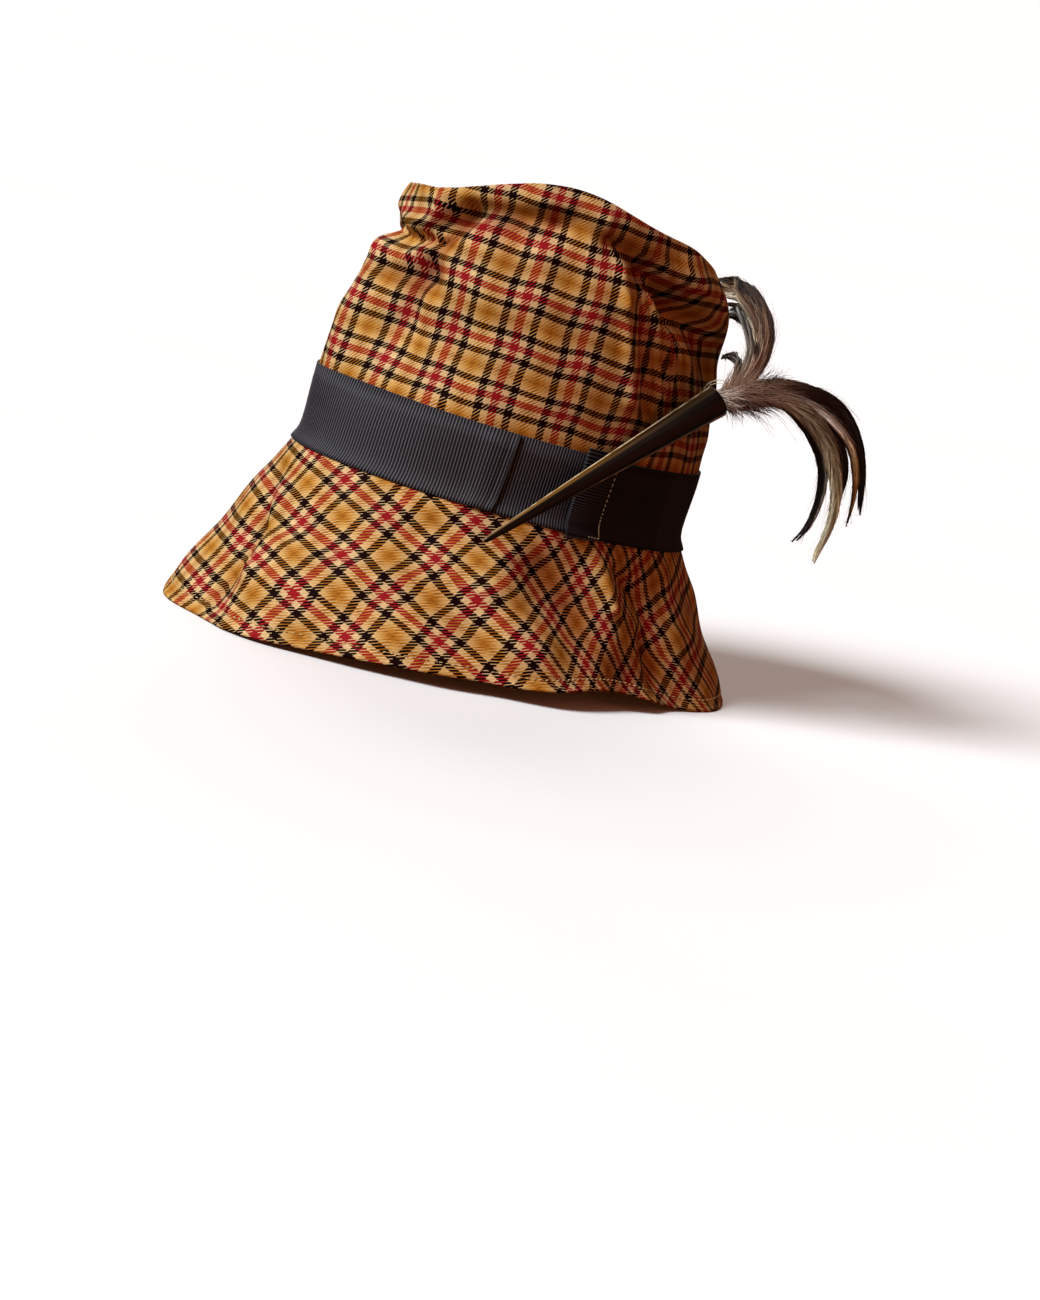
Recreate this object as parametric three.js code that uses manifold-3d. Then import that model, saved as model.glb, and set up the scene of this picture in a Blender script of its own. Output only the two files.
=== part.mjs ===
// A soft checked trilby with a ribbon band, a flat bow, a horn and a feather plume.
// Millimetres, +Z up. The front of the hat faces -Y and the wearer's left is +X.
// Angles go round the hat from the front (0) by the wearer's left (90) to the back (180).

import * as THREE from "three";
import { mergeVertices } from "three/addons/utils/BufferGeometryUtils.js";
import Module from "manifold-3d";

const wasm = await Module();
wasm.setup();

// Driving sizes
const CLOTH = 2.0;
const RIBBON = 1.0;
const GAP = 0.3;
const JOIN_HEIGHT = 87;
const CROWN_LEAN = 5.2;
const BRIM_CENTRE = 2;
const AROUND = 84;

// Rings of the crown, from the brim join up. Heights and reaches are taken at the four quarters.
const RINGS = [
  { name: "hem", height: [-10, -10, -10, -10], reach: [103, 87, 105, 87] },
  { name: "waist", height: [0, 0, 0, 0], reach: [100, 84, 101, 84] },
  { name: "band", height: [30, 30, 30, 30], reach: [101, 85, 102, 85] },
  { name: "middle", height: [64, 72, 66, 66], reach: [98, 82, 99, 82] },
  { name: "shoulder", height: [96, 114, 92, 98], reach: [93, 77, 96, 77] },
  { name: "cap", height: [113, 138, 110, 117], reach: [86.5, 71, 90, 71] },
  { name: "rim", height: [126, 151, 118, 127], reach: [84, 66, 83, 66] },
];

// The groove creased round the crown below its rim.
const GROOVE = { height: [118, 128, 78, 112], depth: [5.5, 5, 3, 6], width: [6, 8, 12, 8] };

// Local folds of the rim and the groove: how far each lifts the rim, lifts the groove and deepens it.
const FOLDS = [
  { name: "front left pinch", at: 6, spread: 14, rim: 0, groove: -18, deeper: 2 },
  { name: "front right pinch", at: -35, spread: 26, rim: 0, groove: -22, deeper: 12 },
  { name: "left ridge", at: 42, spread: 30, rim: 7, groove: 8, deeper: 0 },
  { name: "left rim dip", at: 98, spread: 26, rim: -8.5, groove: 0, deeper: 0 },
  { name: "back left slump", at: 114, spread: 20, rim: -1, groove: -12, deeper: 7 },
];

// Broad swells and dents of the crown wall. Lean is the turn in degrees for each mm of height.
const DENTS = [
  { name: "back left swell", at: 96, spread: 10, height: 85, tall: 45, lean: -0.3, push: 4 },
  { name: "back dent", at: 129, spread: 18, height: 85, tall: 40, lean: -0.3, push: -6 },
  { name: "back left flare", at: 124, spread: 20, height: 118, tall: 10, lean: -1.2, push: 4 },
  { name: "front fold", at: -5, spread: 10, height: 58, tall: 32, lean: 0, push: 7 },
  { name: "front left flat", at: 20, spread: 24, height: 58, tall: 32, lean: 0, push: -10 },
  { name: "front right flat", at: -30, spread: 20, height: 58, tall: 32, lean: 0, push: -3 },
];

// The brim's edge: reach at the four quarters, and the arches that lift it off the surface.
const EDGE_REACH = [152, 127, 138, 127];
const ARCHES = [
  { name: "left front arch", at: 66, half: 62, lift: 6.5 },
  { name: "left arch", at: 103, half: 32, lift: 7 },
  { name: "right front arch", at: 294, half: 62, lift: 6.5 },
  { name: "right arch", at: 257, half: 32, lift: 6 },
];

// Waves that run down the brim. Each bulges out, or in where push is negative, and is strongest at its
// peak: a share of the way from the hem to the edge. Long is how far it runs, as such a share.
const WAVES = [
  { name: "front flute", at: 4, spread: 7, peak: 0.7, long: 0.4, push: -5 },
  { name: "front left flute", at: 22, spread: 9, peak: 0.8, long: 0.5, push: 4 },
  { name: "left pucker", at: 104, spread: 5, peak: 0.28, long: 0.3, push: 3 },
  { name: "back left valley", at: 122, spread: 9, peak: 0.65, long: 0.5, push: -9 },
  { name: "back left lobe", at: 143, spread: 9, peak: 1, long: 0.5, push: 4 },
  { name: "back right wave", at: 214, spread: 10, peak: 1, long: 0.5, push: 3 },
  { name: "right wave", at: 300, spread: 12, peak: 1, long: 0.5, push: -3 },
];

// Bow and band angles
const LIP_AT = 66;
const TAB_FROM = 90;
const TAB_TO = 102.5;
const WING_END = 131;
const BAND_END = 104;

// Horn: its axis runs from the tip, near the brim, back and up to the open mouth.
const HORN = { tip: [99, -45.8, JOIN_HEIGHT - 17.6], mouth: [90, 66.5, JOIN_HEIGHT + 65.4], tipRadius: 1.2, mouthRadius: 8, wall: 1.6 };

// Locks of the plume. Points are measured from the middle of the horn's mouth.
const LOCKS = [
  { name: "upper outer", knee: [-18, 27, 18], bend: [-42, 41, 40], tip: [-66, 33, 51], wide: 11, thick: 5 },
  { name: "upper inner", knee: [-20, 26, 17], bend: [-44, 40, 33], tip: [-64, 35, 40], wide: 9, thick: 5 },
  { name: "curl", knee: [-16, 19, 14], bend: [-33, 31, 22], tip: [-48, 33, 20], wide: 7, thick: 4 },
  { name: "outer arch", knee: [-6, 40, 14], bend: [-12, 87, -3], tip: [-18, 106, -50], wide: 12, thick: 5 },
  { name: "second arch", knee: [-2, 38, 12], bend: [-2, 81, -5], tip: [-4, 91, -53], wide: 11, thick: 5 },
  { name: "main arch", knee: [2, 35, 8], bend: [6, 66, -10], tip: [2, 70, -71], wide: 12, thick: 5 },
  { name: "left arch", knee: [-2, 33, 5], bend: [-6, 68, -17], tip: [-12, 63, -64], wide: 9, thick: 4 },
];

const radians = (degrees) => (degrees * Math.PI) / 180;

// Shortest turn from one angle to another, in degrees.
function turnFrom(at, angle) {
  return ((((angle - at + 180) % 360) + 360) % 360) - 180;
}

function bump(distance, spread) {
  return Math.exp(-((distance / spread) ** 2));
}

// A value that passes smoothly through its four quarters: front, left, back, right.
function quarters(angle, [front, left, back, right]) {
  const c = Math.cos(radians(angle));
  const s = Math.sin(radians(angle));
  const along = c > 0 ? front : back;
  const across = s > 0 ? left : right;
  return along * c * c + across * s * s;
}

// Reach of an oval made of four quarter ellipses.
function oval(angle, [front, left, back, right]) {
  const c = Math.cos(radians(angle));
  const s = Math.sin(radians(angle));
  const along = c > 0 ? front : back;
  const across = s > 0 ? left : right;
  return 1 / Math.hypot(c / along, s / across);
}

// Smooth curve through the values of a list, at a place counted in list steps.
function through(values, place) {
  const last = values.length - 1;
  const i = Math.min(Math.max(Math.floor(place), 0), last - 1);
  const f = place - i;
  const before = values[Math.max(i - 1, 0)];
  const after = values[Math.min(i + 2, last)];
  const slopeA = i === 0 ? values[1] - values[0] : (values[i + 1] - before) / 2;
  const slopeB = i === last - 1 ? values[last] - values[last - 1] : (after - values[i]) / 2;
  const a = 2 * f ** 3 - 3 * f ** 2 + 1;
  const b = f ** 3 - 2 * f ** 2 + f;
  const c = -2 * f ** 3 + 3 * f ** 2;
  const d = f ** 3 - f ** 2;
  return a * values[i] + b * slopeA + c * values[i + 1] + d * slopeB;
}

// From the crown's own leaning frame to the frame the hat rests in.
function lean(x, y, height) {
  const t = radians(CROWN_LEAN);
  const back = BRIM_CENTRE + y * Math.cos(t) + height * Math.sin(t);
  const up = JOIN_HEIGHT - y * Math.sin(t) + height * Math.cos(t);
  return new THREE.Vector3(x, back, up);
}

// Outer face of the crown. Place counts the rings: 0 is the hem and 6 the rim.
function crownPoint(angle, place) {
  const heights = RINGS.map((ring) => quarters(angle, ring.height));
  let grooveAt = quarters(angle, GROOVE.height);
  let grooveDepth = quarters(angle, GROOVE.depth);
  for (const fold of FOLDS) {
    const weight = bump(turnFrom(fold.at, angle), fold.spread);
    heights[4] += 0.5 * fold.rim * weight;
    heights[5] += fold.rim * weight;
    heights[6] += fold.rim * weight;
    grooveAt += fold.groove * weight;
    grooveDepth += fold.deeper * weight;
  }
  const height = through(heights, place);
  let reach = through(RINGS.map((ring) => oval(angle, ring.reach)), place);
  reach -= grooveDepth * bump(height - grooveAt, quarters(angle, GROOVE.width));
  for (const dent of DENTS) {
    const middle = dent.at + dent.lean * (height - dent.height);
    reach += dent.push * bump(turnFrom(middle, angle), dent.spread) * bump(height - dent.height, dent.tall);
  }
  return lean(reach * Math.sin(radians(angle)), -reach * Math.cos(radians(angle)), height);
}

// Height of the brim's edge: nothing where it rests, a rounded arch at each side.
function edgeLift(angle) {
  let lift = 0;
  for (const arch of ARCHES) {
    const share = Math.abs(turnFrom(arch.at, angle)) / arch.half;
    lift += share < 1 ? arch.lift * Math.cos((share * Math.PI) / 2) ** 2 : 0;
  }
  return lift;
}

// Outer face of the brim. Share runs from 0 at the crown's hem to 1 at the edge.
function brimPoint(angle, share) {
  const top = crownPoint(angle, 0);
  const reach = oval(angle, EDGE_REACH);
  const out = new THREE.Vector3(Math.sin(radians(angle)), -Math.cos(radians(angle)), 0);
  const edge = new THREE.Vector3(0, BRIM_CENTRE, edgeLift(angle)).addScaledVector(out, reach);
  const point = top.lerp(edge, share);
  for (const wave of WAVES) {
    const near = bump(share - wave.peak, wave.long) * Math.min(share / 0.1, 1);
    point.addScaledVector(out, wave.push * bump(turnFrom(wave.at, angle), wave.spread) * near);
  }
  return point;
}

// Outer face of brim and crown in one: place -1 is the brim's edge, 0 the hem, 1 the waist, 6 the rim.
function hatPoint(angle, place) {
  return place < 0 ? brimPoint(angle, -place) : crownPoint(angle, place);
}

// Outward direction of a face at an angle and a place.
function outward(face, angle, place) {
  const across = face(angle + 0.5, place).sub(face(angle - 0.5, place));
  const upward = face(angle, place + 0.02).sub(face(angle, place - 0.02));
  return across.cross(upward).normalize();
}

// Closed mesh geometry from a list of points and a list of quads.
function solidFrom(points, quads) {
  const index = quads.flatMap(([a, b, c, d]) => [a, b, c, a, c, d]);
  const geometry = new THREE.BufferGeometry();
  geometry.setAttribute("position", new THREE.Float32BufferAttribute(points.flatMap((p) => p.toArray()), 3));
  geometry.setIndex(index);
  return geometry;
}

// A closed ring wall: the outer points are given row by row, and the inner rows lie behind them.
function ringWall(outerRows, innerRows) {
  const count = outerRows[0].length;
  const rows = [...outerRows, ...innerRows.slice().reverse()];
  const points = rows.flat();
  const quads = [];
  for (let r = 0; r < rows.length; r++) {
    const next = (r + 1) % rows.length;
    for (let k = 0; k < count; k++) {
      const side = (k + 1) % count;
      quads.push([r * count + k, r * count + side, next * count + side, next * count + k]);
    }
  }
  return solidFrom(points, quads);
}

// A closed strip: a sheet with two faces, closed along its four edges.
function strip(outerRows, innerRows) {
  const count = outerRows[0].length;
  const rows = [...outerRows, ...innerRows.slice().reverse()];
  const points = rows.flat();
  const quads = [];
  for (let r = 0; r < rows.length; r++) {
    const next = (r + 1) % rows.length;
    for (let k = 0; k < count - 1; k++) {
      quads.push([r * count + k, r * count + k + 1, next * count + k + 1, next * count + k]);
    }
  }
  for (let r = 0; r < outerRows.length - 1; r++) {
    const back = rows.length - 1 - r;
    quads.push([r * count, (r + 1) * count, (back - 1) * count, back * count]);
    const end = count - 1;
    quads.push([r * count + end, back * count + end, (back - 1) * count + end, (r + 1) * count + end]);
  }
  return solidFrom(points, quads);
}

// Rows of points on a face, pushed along its outward direction by a distance.
function rowsOn(face, angles, places, distance) {
  return places.map((place) =>
    angles.map((angle) => {
      const push = typeof distance === "function" ? distance(angle, place) : distance;
      return face(angle, place).addScaledVector(outward(face, angle, place), push);
    }),
  );
}

// Evenly spaced values with both ends included.
function spaced(from, to, count) {
  return Array.from({ length: count + 1 }, (_, i) => from + ((to - from) * i) / count);
}

const ROUND = spaced(0, 360, AROUND).slice(0, -1);

// A closed body through rings of equal count, closed at both ends to a point.
function skin(rings, first, last) {
  const count = rings[0].length;
  const points = [...rings.flat(), first, last];
  const firstAt = rings.length * count;
  const index = [];
  for (let k = 0; k < count; k++) {
    const side = (k + 1) % count;
    index.push(firstAt, side, k);
    for (let r = 0; r < rings.length - 1; r++) {
      const a = r * count;
      const b = (r + 1) * count;
      index.push(a + k, a + side, b + side, a + k, b + side, b + k);
    }
    const end = (rings.length - 1) * count;
    index.push(end + k, end + side, firstAt + 1);
  }
  const geometry = new THREE.BufferGeometry();
  geometry.setAttribute("position", new THREE.Float32BufferAttribute(points.flatMap((p) => p.toArray()), 3));
  geometry.setIndex(index);
  return geometry;
}

// A ring of points round an axis, flattened across its thin direction.
function ringAt(centre, wideway, thinway, wide, thick, count) {
  return Array.from({ length: count }, (_, k) => {
    const turn = (2 * Math.PI * k) / count;
    const point = centre.clone().addScaledVector(wideway, wide * Math.cos(turn));
    return point.addScaledVector(thinway, thick * Math.sin(turn));
  });
}

// Two directions square to an axis, in right-handed order about it.
function squareTo(axis, hint) {
  const wideway = new THREE.Vector3().crossVectors(hint, axis).normalize();
  const thinway = new THREE.Vector3().crossVectors(axis, wideway).normalize();
  return [wideway, thinway];
}

function crownSide() {
  const places = [1 + GAP / 20, 1.5, 2, 2.6, 3.1, 3.6, 4, 4.35, 4.7, 5, 5.35, 5.68, 5.85, 6];
  return ringWall(rowsOn(hatPoint, ROUND, places, 0), rowsOn(hatPoint, ROUND, places, -CLOTH));
}

// The tip hangs just inside the rim and dips to a shallow hollow along its middle.
function crownTip() {
  const [lower, edge] = rowsOn(hatPoint, ROUND, [5.68, 5.85], -CLOTH - GAP);
  const middle = lean(0, 0, 112);
  const shares = [0, 0.22, 0.5, 0.78];
  const top = shares.map((share) => edge.map((point) => {
    const dip = 1 - (1 - share) ** 1.7;
    const inward = point.clone().lerp(middle, share);
    return inward.setZ(THREE.MathUtils.lerp(point.z, middle.z, dip));
  }));
  const bottom = top.map((ring) => ring.map((point) => point.clone().setZ(point.z - CLOTH * 1.2)));
  bottom[0] = lower;
  const below = middle.clone().setZ(middle.z - CLOTH * 1.2);
  return skin([...bottom.slice().reverse(), ...top], below, middle);
}

// The edge row of the brim is cut level, so the hem has a flat underside to rest on.
function brim() {
  const places = [-1, -0.78, -0.52, -0.26, 0, 0.5, 1 - GAP / 20];
  const outer = rowsOn(hatPoint, ROUND, places, 0);
  const inner = rowsOn(hatPoint, ROUND, places, -CLOTH);
  const hemWide = CLOTH * 1.3;
  inner[0] = outer[0].map((point, k) => {
    const inward = new THREE.Vector3(-Math.sin(radians(ROUND[k])), Math.cos(radians(ROUND[k])), 0);
    return point.clone().addScaledVector(inward, hemWide);
  });
  return ringWall(outer, inner);
}

// A ribbon piece over the hat: a sheet between two distances from the cloth.
function ribbon(from, to, steps, places, under) {
  const angles = spaced(from, to, steps);
  const over = (angle, place) => under(angle, place) + RIBBON;
  return strip(rowsOn(hatPoint, angles, places, over), rowsOn(hatPoint, angles, places, under));
}

const RIBBON_PLACES = [0.03, 0.5, 1, 1.5, 2];

// The band lifts at its front end, where its rolled lip passes over the bow.
function ribbonBand() {
  const lift = (angle) => {
    const share = THREE.MathUtils.smoothstep(angle, LIP_AT + 360 - 12, LIP_AT + 360 - 6);
    return GAP + share * (RIBBON + GAP);
  };
  return ribbon(BAND_END, LIP_AT + 360, 72, RIBBON_PLACES, lift);
}

function bowLeft() {
  return ribbon(LIP_AT - 5, TAB_TO - 4, 9, RIBBON_PLACES, () => GAP);
}

function bowRight() {
  return ribbon(TAB_FROM + 8, WING_END, 8, RIBBON_PLACES, () => GAP + RIBBON + GAP);
}

function bowTab() {
  const places = [-0.03, 0.5, 1, 1.5, 2.08];
  return ribbon(TAB_FROM, TAB_TO, 4, places, () => 2 * (GAP + RIBBON) + GAP);
}

const HORN_TIP = new THREE.Vector3(...HORN.tip);
const HORN_MOUTH = new THREE.Vector3(...HORN.mouth);
const HORN_AXIS = HORN_MOUTH.clone().sub(HORN_TIP).normalize();
const HORN_LONG = HORN_MOUTH.distanceTo(HORN_TIP);
const HORN_BORE = 12;

// Radius of the horn's outside at a share of its length.
function hornRadius(share) {
  return HORN.tipRadius + (HORN.mouthRadius - HORN.tipRadius) * share ** 0.9;
}

function hornHolder() {
  const [wideway, thinway] = squareTo(HORN_AXIS, new THREE.Vector3(0, 0, 1));
  const ring = (share, radius) =>
    ringAt(HORN_TIP.clone().lerp(HORN_MOUTH, share), wideway, thinway, radius, radius, 18);
  const outer = [0.015, 0.2, 0.4, 0.6, 0.8, 1].map((share) => ring(share, hornRadius(share)));
  const bored = 1 - HORN_BORE / HORN_LONG;
  const inner = [1, bored].map((share) => ring(share, hornRadius(share) - HORN.wall));
  const floor = HORN_TIP.clone().lerp(HORN_MOUTH, bored);
  return skin([...outer, ...inner], HORN_TIP, floor);
}

// One lock of feathers: a flattened body along a curve that swells early and runs to a point.
function lock(row) {
  const start = HORN_MOUTH.clone().addScaledVector(HORN_AXIS, 5);
  const stops = [row.knee, row.bend, row.tip].map((at) => new THREE.Vector3(...at).add(HORN_MOUTH));
  const curve = new THREE.CatmullRomCurve3([start, ...stops], false, "centripetal");
  const rings = spaced(0, 0.94, 8).map((share) => {
    const swell = 0.6 + 0.4 * THREE.MathUtils.smoothstep(share, 0, 0.35);
    const taper = swell * (1 - 0.85 * share ** 3);
    const [wideway, thinway] = squareTo(curve.getTangent(share), new THREE.Vector3(1, 0, 0));
    return ringAt(curve.getPoint(share), wideway, thinway, (row.wide / 2) * taper, (row.thick / 2) * taper, 6);
  });
  return skin(rings, start, curve.getPoint(1));
}

// The head of the plume sits in the horn's mouth and swells just outside it.
function plumeHead() {
  const [wideway, thinway] = squareTo(HORN_AXIS, new THREE.Vector3(0, 0, 1));
  const fits = HORN.mouthRadius - HORN.wall - GAP - 0.2;
  const sizes = [
    { out: -HORN_BORE + 1.5, radius: fits - 1 },
    { out: 1, radius: fits },
    { out: 5, radius: fits + 0.6 },
    { out: 16, radius: fits + 1 },
    { out: 26, radius: fits - 2 },
  ];
  const along = (out) => HORN_MOUTH.clone().addScaledVector(HORN_AXIS, out);
  const rings = sizes.map(({ out, radius }) => ringAt(along(out), wideway, thinway, radius, radius, 12));
  return skin(rings, along(-HORN_BORE + 1), along(30));
}

// Joining of closed bodies.
function toManifold(geometry) {
  const clean = geometry.clone();
  clean.deleteAttribute("normal");
  clean.deleteAttribute("uv");
  const merged = mergeVertices(clean);
  const vertProperties = new Float32Array(merged.attributes.position.array);
  const triVerts = new Uint32Array(merged.index.array);
  return new wasm.Manifold(new wasm.Mesh({ numProp: 3, vertProperties, triVerts }));
}

function fromManifold(body) {
  const { vertProperties, triVerts } = body.getMesh();
  const geometry = new THREE.BufferGeometry();
  geometry.setAttribute("position", new THREE.BufferAttribute(new Float32Array(vertProperties), 3));
  geometry.setIndex(Array.from(triVerts));
  return geometry;
}

function featherPlume() {
  let body = toManifold(plumeHead());
  for (const row of LOCKS) {
    body = body.add(toManifold(lock(row)));
  }
  return fromManifold(body);
}

// Pieces with their colours
const PIECES = [
  { name: "crown_side", make: crownSide, colour: 0xb07a3a, rough: 0.9 },
  { name: "crown_tip", make: crownTip, colour: 0xb07a3a, rough: 0.9 },
  { name: "brim", make: brim, colour: 0xb07a3a, rough: 0.9 },
  { name: "ribbon_band", make: ribbonBand, colour: 0x2c2629, rough: 0.6 },
  { name: "bow_left", make: bowLeft, colour: 0x2c2629, rough: 0.6 },
  { name: "bow_right", make: bowRight, colour: 0x2c2629, rough: 0.6 },
  { name: "bow_tab", make: bowTab, colour: 0x2c2629, rough: 0.6 },
  { name: "horn_holder", make: hornHolder, colour: 0x2b2017, rough: 0.35 },
  { name: "feather_plume", make: featherPlume, colour: 0x6b5444, rough: 0.9 },
];

const hat = new THREE.Group();
hat.name = "trilby";
for (const { name, make, colour, rough } of PIECES) {
  const geometry = make();
  geometry.computeVertexNormals();
  const mesh = new THREE.Mesh(geometry, new THREE.MeshStandardMaterial({ color: colour, roughness: rough }));
  mesh.name = name;
  hat.add(mesh);
}

// The origin is the middle of the hat's footprint, on the surface it rests on.
const box = new THREE.Box3().setFromObject(hat);
const middle = box.getCenter(new THREE.Vector3());
for (const mesh of hat.children) {
  mesh.geometry.translate(-middle.x, -middle.y, -box.min.z);
}

export default hat;
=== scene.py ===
import math

import bpy
import numpy as np
from mathutils import Matrix, Vector


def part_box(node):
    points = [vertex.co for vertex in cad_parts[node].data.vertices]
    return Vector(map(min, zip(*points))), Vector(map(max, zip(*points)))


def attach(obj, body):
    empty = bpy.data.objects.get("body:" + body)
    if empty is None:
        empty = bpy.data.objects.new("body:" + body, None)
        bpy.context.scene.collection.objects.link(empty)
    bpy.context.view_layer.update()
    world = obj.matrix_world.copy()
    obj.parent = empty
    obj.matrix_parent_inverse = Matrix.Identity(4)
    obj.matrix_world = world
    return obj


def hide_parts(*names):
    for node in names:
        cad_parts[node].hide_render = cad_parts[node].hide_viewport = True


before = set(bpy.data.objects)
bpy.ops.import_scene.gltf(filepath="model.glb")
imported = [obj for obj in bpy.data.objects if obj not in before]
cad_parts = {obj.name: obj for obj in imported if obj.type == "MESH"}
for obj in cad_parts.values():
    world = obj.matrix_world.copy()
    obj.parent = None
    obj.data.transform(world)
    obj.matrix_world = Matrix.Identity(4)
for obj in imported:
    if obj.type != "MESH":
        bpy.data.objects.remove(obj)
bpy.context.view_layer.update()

# A soft checked trilby with a ribbon band, a flat bow, a horn and a feather plume.
# Tables are in millimetres, as in the solids. Angles go round the hat from the front (0), by the
# wearer's left (90), to the back (180). Places count the rings of the crown: -1 is the brim's edge,
# 0 the hem, 1 the waist, 2 the ribbon's top edge and 6 the rim.
MM = 0.001
CLOTH = 2.0
RIBBON = 1.0
GAP = 0.3
JOIN_HEIGHT = 87
CROWN_LEAN = math.radians(5.2)
BRIM_CENTRE = 2

# Slope of the brim, length round the crown, half the gap at the waist in places of 10 mm, and the
# millimetres that one degree takes on the crown, the brim and the band
BRIM_SLOPE = 92
CROWN_ROUND = 560
WAIST_GAP = GAP / 20
CROWN_DEGREE = 1.5
BRIM_DEGREE = 1.9
BAND_DEGREE = 1.62

# Rings of the crown. Heights and reaches are taken at the four quarters: front, left, back, right.
RINGS = [
    dict(name="hem", height=(-10, -10, -10, -10), reach=(103, 87, 105, 87)),
    dict(name="waist", height=(0, 0, 0, 0), reach=(100, 84, 101, 84)),
    dict(name="band", height=(30, 30, 30, 30), reach=(101, 85, 102, 85)),
    dict(name="middle", height=(64, 72, 66, 66), reach=(98, 82, 99, 82)),
    dict(name="shoulder", height=(96, 114, 92, 98), reach=(93, 77, 96, 77)),
    dict(name="cap", height=(113, 138, 110, 117), reach=(86.5, 71, 90, 71)),
    dict(name="rim", height=(126, 151, 118, 127), reach=(84, 66, 83, 66)),
]
GROOVE = dict(height=(118, 128, 78, 112), depth=(5.5, 5, 3, 6), width=(6, 8, 12, 8))
FOLDS = [
    dict(name="front left pinch", at=6, spread=14, rim=0, groove=-18, deeper=2),
    dict(name="front right pinch", at=-35, spread=26, rim=0, groove=-22, deeper=12),
    dict(name="left ridge", at=42, spread=30, rim=7, groove=8, deeper=0),
    dict(name="left rim dip", at=98, spread=26, rim=-8.5, groove=0, deeper=0),
    dict(name="back left slump", at=114, spread=20, rim=-1, groove=-12, deeper=7),
]
DENTS = [
    dict(name="back left swell", at=96, spread=10, height=85, tall=45, lean=-0.3, push=4),
    dict(name="back dent", at=129, spread=18, height=85, tall=40, lean=-0.3, push=-6),
    dict(name="back left flare", at=124, spread=20, height=118, tall=10, lean=-1.2, push=4),
    dict(name="front fold", at=-5, spread=10, height=58, tall=32, lean=0, push=7),
    dict(name="front left flat", at=20, spread=24, height=58, tall=32, lean=0, push=-10),
    dict(name="front right flat", at=-30, spread=20, height=58, tall=32, lean=0, push=-3),
]
EDGE_REACH = (152, 127, 138, 127)
ARCHES = [
    dict(name="left front arch", at=66, half=62, lift=6.5),
    dict(name="left arch", at=103, half=32, lift=7),
    dict(name="right front arch", at=294, half=62, lift=6.5),
    dict(name="right arch", at=257, half=32, lift=6),
]
WAVES = [
    dict(name="front flute", at=4, spread=7, peak=0.7, long=0.4, push=-5),
    dict(name="front left flute", at=22, spread=9, peak=0.8, long=0.5, push=4),
    dict(name="left pucker", at=104, spread=5, peak=0.28, long=0.3, push=3),
    dict(name="back left valley", at=122, spread=9, peak=0.65, long=0.5, push=-9),
    dict(name="back left lobe", at=143, spread=9, peak=1, long=0.5, push=4),
    dict(name="back right wave", at=214, spread=10, peak=1, long=0.5, push=3),
    dict(name="right wave", at=300, spread=12, peak=1, long=0.5, push=-3),
]

# Small creases of the cloth: a line from one angle and height to another. Heights are above the waist
# on the crown and below the hem on the brim. Wide and push are in millimetres.
CROWN_CREASES = [
    dict(name="front valley", start=(20, 101), end=(16, 66), wide=8, push=-4.5),
    dict(name="rim hollow", start=(22, 115), end=(56, 127), wide=8.5, push=-7),
    dict(name="rim edge", start=(24, 128), end=(60, 139), wide=5, push=2.2),
    dict(name="front pocket", start=(5, 82), end=(20, 87), wide=8, push=-4.5),
    dict(name="front end", start=(-36, 107), end=(-17, 106), wide=6, push=-4),
    dict(name="front slit", start=(-5, 103), end=(20, 105), wide=2.6, push=-3.5),
    dict(name="cap ridge", start=(15, 127), end=(14, 109), wide=4, push=2.6),
    dict(name="cap hollow", start=(25, 124), end=(23, 110), wide=6, push=-5),
    dict(name="fan upper", start=(22, 105), end=(36, 101), wide=4, push=-1.2),
    dict(name="fan lower", start=(18, 92), end=(27, 80), wide=4, push=-1),
    dict(name="tuck start", start=(80, 129), end=(101, 119), wide=4.5, push=-4),
    dict(name="tuck middle", start=(101, 119), end=(124, 105), wide=7, push=-5),
    dict(name="tuck end", start=(124, 105), end=(147, 88), wide=9, push=-3.5),
    dict(name="left corner", start=(77, 138), end=(87, 118), wide=4, push=1.8),
    dict(name="left fold upper", start=(87, 118), end=(90, 104), wide=4, push=2.2),
    dict(name="left fold", start=(90, 104), end=(101, 60), wide=4, push=2.4),
    dict(name="left hollow", start=(96, 116), end=(108, 60), wide=6, push=-3.5),
    dict(name="left nick", start=(79, 130), end=(85, 127), wide=2.2, push=-2),
]
BRIM_CREASES = [
    dict(name="front fold upper", start=(-4, 16), end=(6, 45), wide=5, push=-2),
    dict(name="front fold lower", start=(6, 45), end=(7, 82), wide=6, push=-2.5),
    dict(name="front rise", start=(3, 22), end=(13, 62), wide=5, push=1.4),
    dict(name="front rise end", start=(13, 62), end=(16, 88), wide=5, push=1.6),
    dict(name="side ridge", start=(69, 36), end=(86, 92), wide=16, push=5),
    dict(name="side shade", start=(86, 26), end=(106, 86), wide=18, push=-6),
    dict(name="side pucker", start=(101, 8), end=(105, 40), wide=4, push=2.2),
    dict(name="side drag", start=(105, 40), end=(121, 47), wide=5, push=1.6),
    dict(name="side hollow", start=(109, 18), end=(121, 33), wide=6, push=-3.2),
    dict(name="side valley", start=(123, 44), end=(119, 84), wide=7, push=-3),
    dict(name="back fold", start=(134, 10), end=(130, 70), wide=5, push=1.5),
]

# Rows of gathers: a packet of small waves across the angle, leaning with the height.
CROWN_GATHERS = [
    dict(name="back left gathers", at=114, spread=14, height=84, tall=30, pitch=5.4, lean=-0.25, push=1.6),
    dict(name="front gathers", at=6, spread=14, height=92, tall=14, pitch=7.0, lean=0.1, push=0.6),
    dict(name="right gathers", at=250, spread=26, height=84, tall=24, pitch=8.0, lean=0.18, push=0.8),
]

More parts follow.
